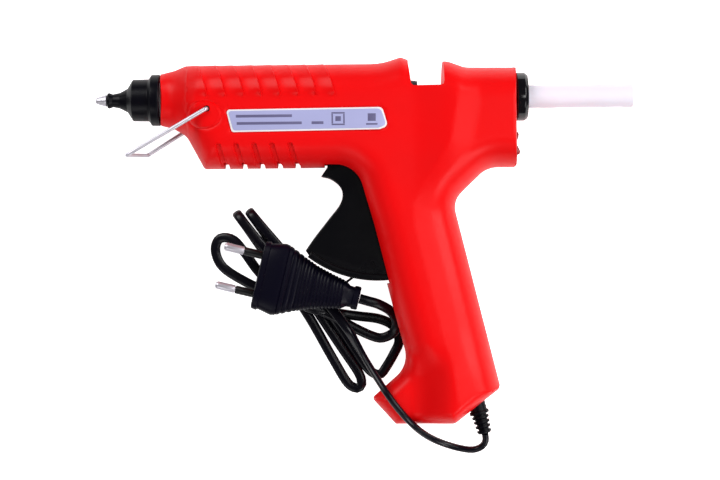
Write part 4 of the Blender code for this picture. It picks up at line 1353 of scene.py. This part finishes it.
@dataclass
class Plug:
    """The two-pin plug."""
    at: tuple = (-52.0, -15.6)
    turn: float = -14.0       # degrees, of its axis from +X
    z: float = 19.4
    pin_spread: float = 9.5
    # Distance from the face, half the width and half the thickness.
    stations: tuple = ((0.0, 15.6, 5.6), (0.5, 16.5, 6.6), (2.8, 16.9, 7.0), (3.3, 16.2, 6.4),
                       (4.0, 16.3, 6.6), (10.0, 17.6, 7.3), (12.0, 17.2, 7.3), (15.0, 16.0, 7.1),
                       (20.6, 13.4, 6.7), (27.0, 10.8, 6.5), (35.0, 8.6, 6.3), (42.0, 7.0, 6.1),
                       (44.5, 5.2, 5.0), (46.6, 5.0, 4.9), (47.2, 5.7, 5.4),
                       (49.4, 5.7, 5.4), (50.0, 5.2, 5.0))

    def point(self, along: float, across: float, z: float = 0.0) -> Vector:
        """A point by its distance from the face, across the plug, and above its middle."""
        turn = math.radians(self.turn)
        return Vector((self.at[0] + along * math.cos(turn) - across * math.sin(turn),
                       self.at[1] + along * math.sin(turn) + across * math.cos(turn), self.z + z))

    def ribs(self, along: float) -> float:
        """How deep the grip's grooves are.

        Args:
            along: the distance from the face.

        Returns:
            The depth there.
        """
        if 12.0 < along < 20.0:
            return 0.55 * max(0.0, math.cos((along - 12.0) / 2.7 * 2 * math.pi) - 0.1)
        if 20.0 <= along < 43.0:
            return 0.34 * max(0.0, math.cos((along - 20.0) / 1.65 * 2 * math.pi))
        return 0.0

    def build(self) -> list[bpy.types.Object]:
        """Build the plug's body, pins and sleeves.

        Returns:
            The pieces.
        """
        stations = np.array(self.stations)
        places = sorted({*stations[:, 0], *np.arange(11.0, 44.0, 0.33)})
        rings = []
        for along in places:
            wide, thick = (np.interp(along, stations[:, 0], stations[:, k]) - self.ribs(along)
                           for k in (1, 2))
            ring = []
            for k in range(48):
                c, s = math.cos(2 * math.pi * (k + 0.5) / 48), math.sin(2 * math.pi * (k + 0.5) / 48)
                ring.append(self.point(along, wide * math.copysign(abs(c) ** 0.6, c),
                                       thick * math.copysign(abs(s) ** 0.6, s)))
            rings.append(ring)
        made = [put("plug_moulded", loft("plug_moulded", rings), PLUG_BLACK, Body.HOUSING, "plug_body")]
        turn = math.radians(self.turn)
        way = (-math.cos(turn), -math.sin(turn), 0.0)
        for number, side in enumerate((1, -1), 1):
            at = tuple(self.point(0.0, side * self.pin_spread))
            pin = [(0.3, 0.0), (0.3, 1.3), (9.3, 1.3), (9.35, 1.9), (9.6, 2.0), (17.4, 2.0), (18.2, 1.85),
                   (18.8, 1.4), (19.0, 0.8), (19.0, 0.0)]
            made.append(put(f"pin_{number}_turned", lathe("pin", pin, at, way, 40, closed=False), TIP_METAL,
                            Body.HOUSING, f"plug_pin_{number}"))
            sleeve = [(0.3, 1.6), (0.3, 2.0), (8.8, 2.0), (9.0, 1.9), (9.0, 1.6)]
            made.append(put(f"sleeve_{number}_moulded", lathe("sleeve", sleeve, at, way, 40), SWITCH_BLACK,
                            Body.HOUSING, f"pin_sleeve_{number}"))
        return made


@dataclass
class MainsCord:
    """The cord from the foot of the handle, through the hank it is folded into, to the plug."""
    wide: float = 4.8         # the cord is flat
    thick: float = 3.3
    relief_at: tuple = (53.0, -80.5)
    centre: tuple = (-31.0, -29.0)     # of the hank
    along: tuple = (-0.577, 0.816)     # the hank's length runs this way
    across: tuple = (0.816, 0.577)
    lead: tuple = (
        (56.25, -93.1, 22.5), (56.5, -96.6, 21.9), (54.4, -99.6, 20.8), (50.0, -101.0, 19.6),
        (44.0, -100.2, 18.8), (37.5, -98.2, 19.6), (31.2, -95.3, 22.8), (25.6, -91.4, 28.2),
        (20.4, -86.4, 34.0),
        (14.8, -79.9, 36.7), (9.3, -72.4, 36.4), (4.0, -64.3, 31.5), (-1.0, -56.2, 25.2), (-5.0, -49.6, 19.4),
        (-8.6, -43.6, 14.8))
    # Along the hank, across it and height, pass by pass.
    hank: tuple = (
        (-16.0, 9.7, 12.6), (-7.0, 9.2, 10.6), (6.0, 8.2, 9.0), (24.0, 6.6, 8.8), (40.0, 5.2, 8.8),
        (48.4, 4.6, 8.0), (50.4, 4.4, 5.3), (48.4, 4.2, 2.6), (40.0, 4.2, 2.0), (20.0, 3.6, 2.0),
        (-8.0, 2.7, 2.0), (-30.0, 1.9, 2.0), (-44.5, 1.4, 2.0), (-49.6, -0.4, 2.0), (-50.6, -2.4, 2.0),
        (-49.4, -4.5, 2.0), (-44.5, -5.9, 2.0), (-30.0, -4.6, 2.0), (-8.0, -2.2, 2.0), (14.0, -1.6, 2.0),
        (34.0, -1.4, 2.0), (46.0, -1.2, 2.2), (51.6, -1.2, 3.0), (53.2, -1.1, 5.4), (51.2, -1.0, 7.8),
        (44.0, -0.8, 8.6), (28.0, 0.2, 8.4), (12.0, 2.0, 6.8), (-2.0, 5.8, 5.0), (-14.0, 7.1, 2.6),
        (-30.0, 6.7, 2.0), (-43.0, 6.2, 2.0), (-49.0, 7.2, 2.0), (-51.4, 9.8, 2.0), (-50.2, 14.0, 2.0),
        (-47.4, 20.3, 2.0), (-43.6, 26.6, 2.0), (-36.7, 28.8, 2.0), (-29.4, 25.3, 2.1), (-22.0, 17.6, 2.6),
        (-17.0, 12.4, 3.6), (-11.0, 6.6, 7.4), (-4.0, 0.5, 9.3), (10.0, -6.0, 8.8), (24.0, -9.0, 7.6),
        (36.0, -9.2, 6.4), (44.4, -10.2, 5.0), (48.6, -15.2, 3.4), (45.2, -20.4, 2.2), (36.5, -22.2, 2.0),
        (24.0, -17.4, 2.0), (12.0, -10.5, 2.8), (2.0, -3.0, 5.6), (-9.0, 4.4, 7.6), (-17.0, 8.8, 7.0),
        (-25.0, 12.6, 6.4), (-33.0, 17.0, 6.0))
    tail: tuple = ((7.5, -47.4, 6.0), (13.2, -44.6, 7.6), (14.6, -39.4, 10.6), (11.8, -34.2, 14.6),
                   (6.0, -30.6, 18.0), (1.0, -29.0, 19.2))
    upright: float = 0.12      # share of the cord, from its start, that stands on its narrow edge
    rolling: float = 0.04      # share over which it then rolls onto its wide side
    tie: tuple = ((-20.0, -27.2, 12.1), (-12.0, -21.6, 12.3), (-3.6, -15.4, 12.0), (-0.6, -12.8, 10.2),
                  (0.0, -12.2, 6.0), (0.0, -12.2, 1.3))

    def route(self, plug: Plug) -> list[Vector]:
        """The cord's centreline.

        Args:
            plug: the plug it ends in.

        Returns:
            Its points.
        """
        knots = [Vector(point) for point in self.lead]
        for s, o, z in self.hank:
            knots.append(Vector((self.centre[0] + s * self.along[0] + o * self.across[0],
                                 self.centre[1] + s * self.along[1] + o * self.across[1], z)))
        knots += [Vector(point) for point in self.tail]
        knots.append(plug.point(50.2, 0.0))
        return smooth_path(knots, 1.6)

    def flat_cord(self, path: list[Vector]) -> bpy.types.Mesh:
        """The sheath of a flat cord, which stands on edge as it leaves the foot and then lies flat.

        Args:
            path: the cord's centreline.

        Returns:
            The mesh.
        """
        rings = []
        side = UP.cross(path[1] - path[0]).normalized()
        for k, here in enumerate(path):
            way = (path[min(k + 1, len(path) - 1)] - path[max(k - 1, 0)]).normalized()
            level = way.cross(UP)
            if level.length > 0.35:
                level.normalize()
                side = level if level.dot(side) > 0 else -level
            else:
                side = (side - way * side.dot(way)).normalized()
            lift = side.cross(way)
            rolled = min(max((k / len(path) - self.upright) / self.rolling, 0.0), 1.0)
            turn = math.pi / 2 * (1 - rolled)
            wide = side * math.cos(turn) + lift * math.sin(turn)
            thin = lift * math.cos(turn) - side * math.sin(turn)
            ring = []
            for step in range(20):
                c, s = math.cos(2 * math.pi * step / 20), math.sin(2 * math.pi * step / 20)
                ring.append(here + wide * (self.wide / 2 * math.copysign(abs(c) ** 0.85, c))
                            + thin * (self.thick / 2 * math.copysign(abs(s) ** 0.7, s)))
            rings.append(ring)
        return loft("mains_cord", rings, degrees=60.0)

    def relief(self) -> bpy.types.Object:
        """The strain relief, a ribbed rubber sleeve that narrows towards the cord.

        Returns:
            The piece.
        """
        profile = [(-8.8, 2.5), (-8.8, 5.2), (-8.6, 5.4), (-7.0, 5.4), (-6.8, 5.2), (-6.8, 4.0), (1.6, 4.0),
                   (1.6, 4.5), (1.8, 4.7), (3.0, 4.7)]
        for number in range(4):
            start, size = 3.4 + 2.3 * number, 4.1 - 0.22 * number
            profile += [(start, size - 0.9), (start + 0.6, size - 0.9), (start + 0.7, size),
                        (start + 1.7, size), (start + 1.9, size - 0.3)]
        profile += [(12.6, 3.0), (12.6, 2.5)]
        mesh = lathe("strain_relief_ribbed", profile, (*self.relief_at, MID), RELIEF_WAY, 48)
        return put("strain_relief_ribbed", mesh, CAP_BLACK, Body.HOUSING, "strain_relief")

    def build(self, plug: Plug, on_plug: list[bpy.types.Object]) -> None:
        """Build the cord, its strain relief and its tie.

        Args:
            plug: the plug it ends in.
            on_plug: the plug's pieces; not used.
        """
        path = self.route(plug)
        length = sum((b - a).length for a, b in zip(path, path[1:])) * MM
        cord = put("mains_cord", self.flat_cord(path), CORD_BLACK, Body.HOUSING, "power_cord", "cord_hank")
        strand = wire("twist_tie_wire", smooth_path(list(self.tie), 0.8), 1.2)
        tie = put("twist_tie_wire", strand, CORD_BLACK, Body.HOUSING, "twist_tie")
        self.relief()
        log.info("the cord is %.3f m long", length)


class Insides:
    """The pieces carried from the CAD, which show through the openings."""
    finishes = {
        ALUMINIUM: ("melt_chamber",), CERAMIC: ("heater_element",), CAP_BLACK: ("inlet_sleeve",),
        LEAD_WHITE: ("heater_lead_left", "heater_lead_right"),
        GREY: ("terminal_block", "cord_clamp", "feed_carriage"),
        STEEL: ("sleeve_clamp", "clamp_screw_1", "clamp_screw_2", "grip_lever", "grip_pin", "link_left",
                "link_right", "link_pin_left", "link_pin_right", "trigger_pin", "trigger_spring",
                *(f"housing_screw_{number}" for number in range(1, 6))),
    }

    def build(self) -> None:
        """Dress every carried piece."""
        for finish, nodes in self.finishes.items():
            for node in nodes:
                dress(node, finish)


@dataclass
class Studio:
    """The floor, the lights and the camera."""
    camera_at: tuple = (-0.0028, 0.0005, 0.9725)   # metres
    lens: float = 98.96
    turn: float = -0.587      # degrees
    world: float = 0.1
    # Place of each softbox in metres, its power, and its length and width.
    lamps: tuple = ((-0.9, 0.9, 0.95, 12.5, 0.9, 0.6), (1.15, 0.55, 0.95, 15.0, 0.9, 0.6),
                    (-0.6, -1.05, 0.95, 4.0, 0.9, 0.6), (0.9, -0.9, 1.0, 10.0, 0.9, 0.6),
                    (0.42, 0.02, 1.0, 1.3, 0.2, 0.5))
    glow: tuple = (0.2, 0.8)  # the floor's own light, and what is added where it is looked at directly

    def floor(self) -> None:
        """Lay the pale floor."""
        body = bmesh.new()
        bmesh.ops.create_grid(body, x_segments=8, y_segments=8, size=3.0)
        mesh = bpy.data.meshes.new("floor")
        body.to_mesh(mesh)
        body.free()
        floor = bpy.data.objects.new("floor", mesh)
        floor.location.z = -0.0002
        bpy.context.scene.collection.objects.link(floor)
        made = bpy.data.materials.new("pale_floor")
        made.use_nodes = True
        effect = Effect(made.node_tree)
        shader = made.node_tree.nodes["Principled BSDF"]
        shader.inputs["Roughness"].default_value = 0.9
        shader.inputs["Specular IOR Level"].default_value = 0.1
        shader.inputs["Emission Color"].default_value = (1.0, 1.0, 1.0, 1.0)
        seen = effect.node("LightPath").outputs["Is Camera Ray"]
        glow = effect.math('ADD', effect.math('MULTIPLY', seen, self.glow[1]), self.glow[0])
        effect.link(glow, shader.inputs["Emission Strength"])
        speckle = effect.noise(effect.node("TexCoord").outputs["Object"], 40.0, 2.0)
        pale = effect.blend(speckle, (0.93, 0.93, 0.93), (0.95, 0.95, 0.95))
        effect.link(pale, shader.inputs["Base Color"])
        mesh.materials.append(made)

    def build(self) -> None:
        """Build the floor, the lights and the camera."""
        self.floor()
        world = bpy.data.worlds.new("studio")
        world.use_nodes = True
        sky = world.node_tree.nodes["Background"]
        sky.inputs["Color"].default_value = (1.0, 1.0, 1.0, 1.0)
        sky.inputs["Strength"].default_value = self.world
        bpy.context.scene.world = world
        for number, (x, y, z, power, long, wide) in enumerate(self.lamps, 1):
            data = bpy.data.lights.new(f"softbox_{number}", 'AREA')
            data.shape = 'RECTANGLE'
            data.size, data.size_y = long, wide
            data.energy = power
            lamp = bpy.data.objects.new(f"softbox_{number}", data)
            lamp.location = (x, y, z)
            lamp.rotation_euler = Vector((x, y, z)).to_track_quat('Z', 'Y').to_euler()
            bpy.context.scene.collection.objects.link(lamp)
        data = bpy.data.cameras.new("camera")
        data.lens = self.lens
        data.sensor_width = 36.0
        camera = bpy.data.objects.new("camera", data)
        camera.location = self.camera_at
        camera.rotation_euler = (0.0, 0.0, math.radians(self.turn))
        bpy.context.scene.collection.objects.link(camera)
        bpy.context.scene.camera = camera
        bpy.context.scene.view_settings.view_transform = 'Standard'
        log.info("the studio is set")


def main() -> None:
    """Build the gun and its studio."""
    logging.basicConfig(level=logging.INFO, format="%(message)s")
    Studio().build()
    plug = Plug()
    MainsCord().build(plug, plug.build())
    Housing().build()
    MeltEnd().build()
    Trigger().build()
    WireStand().build()
    Switch().build()
    Insides().build()


if __name__ == "__main__":
    main()
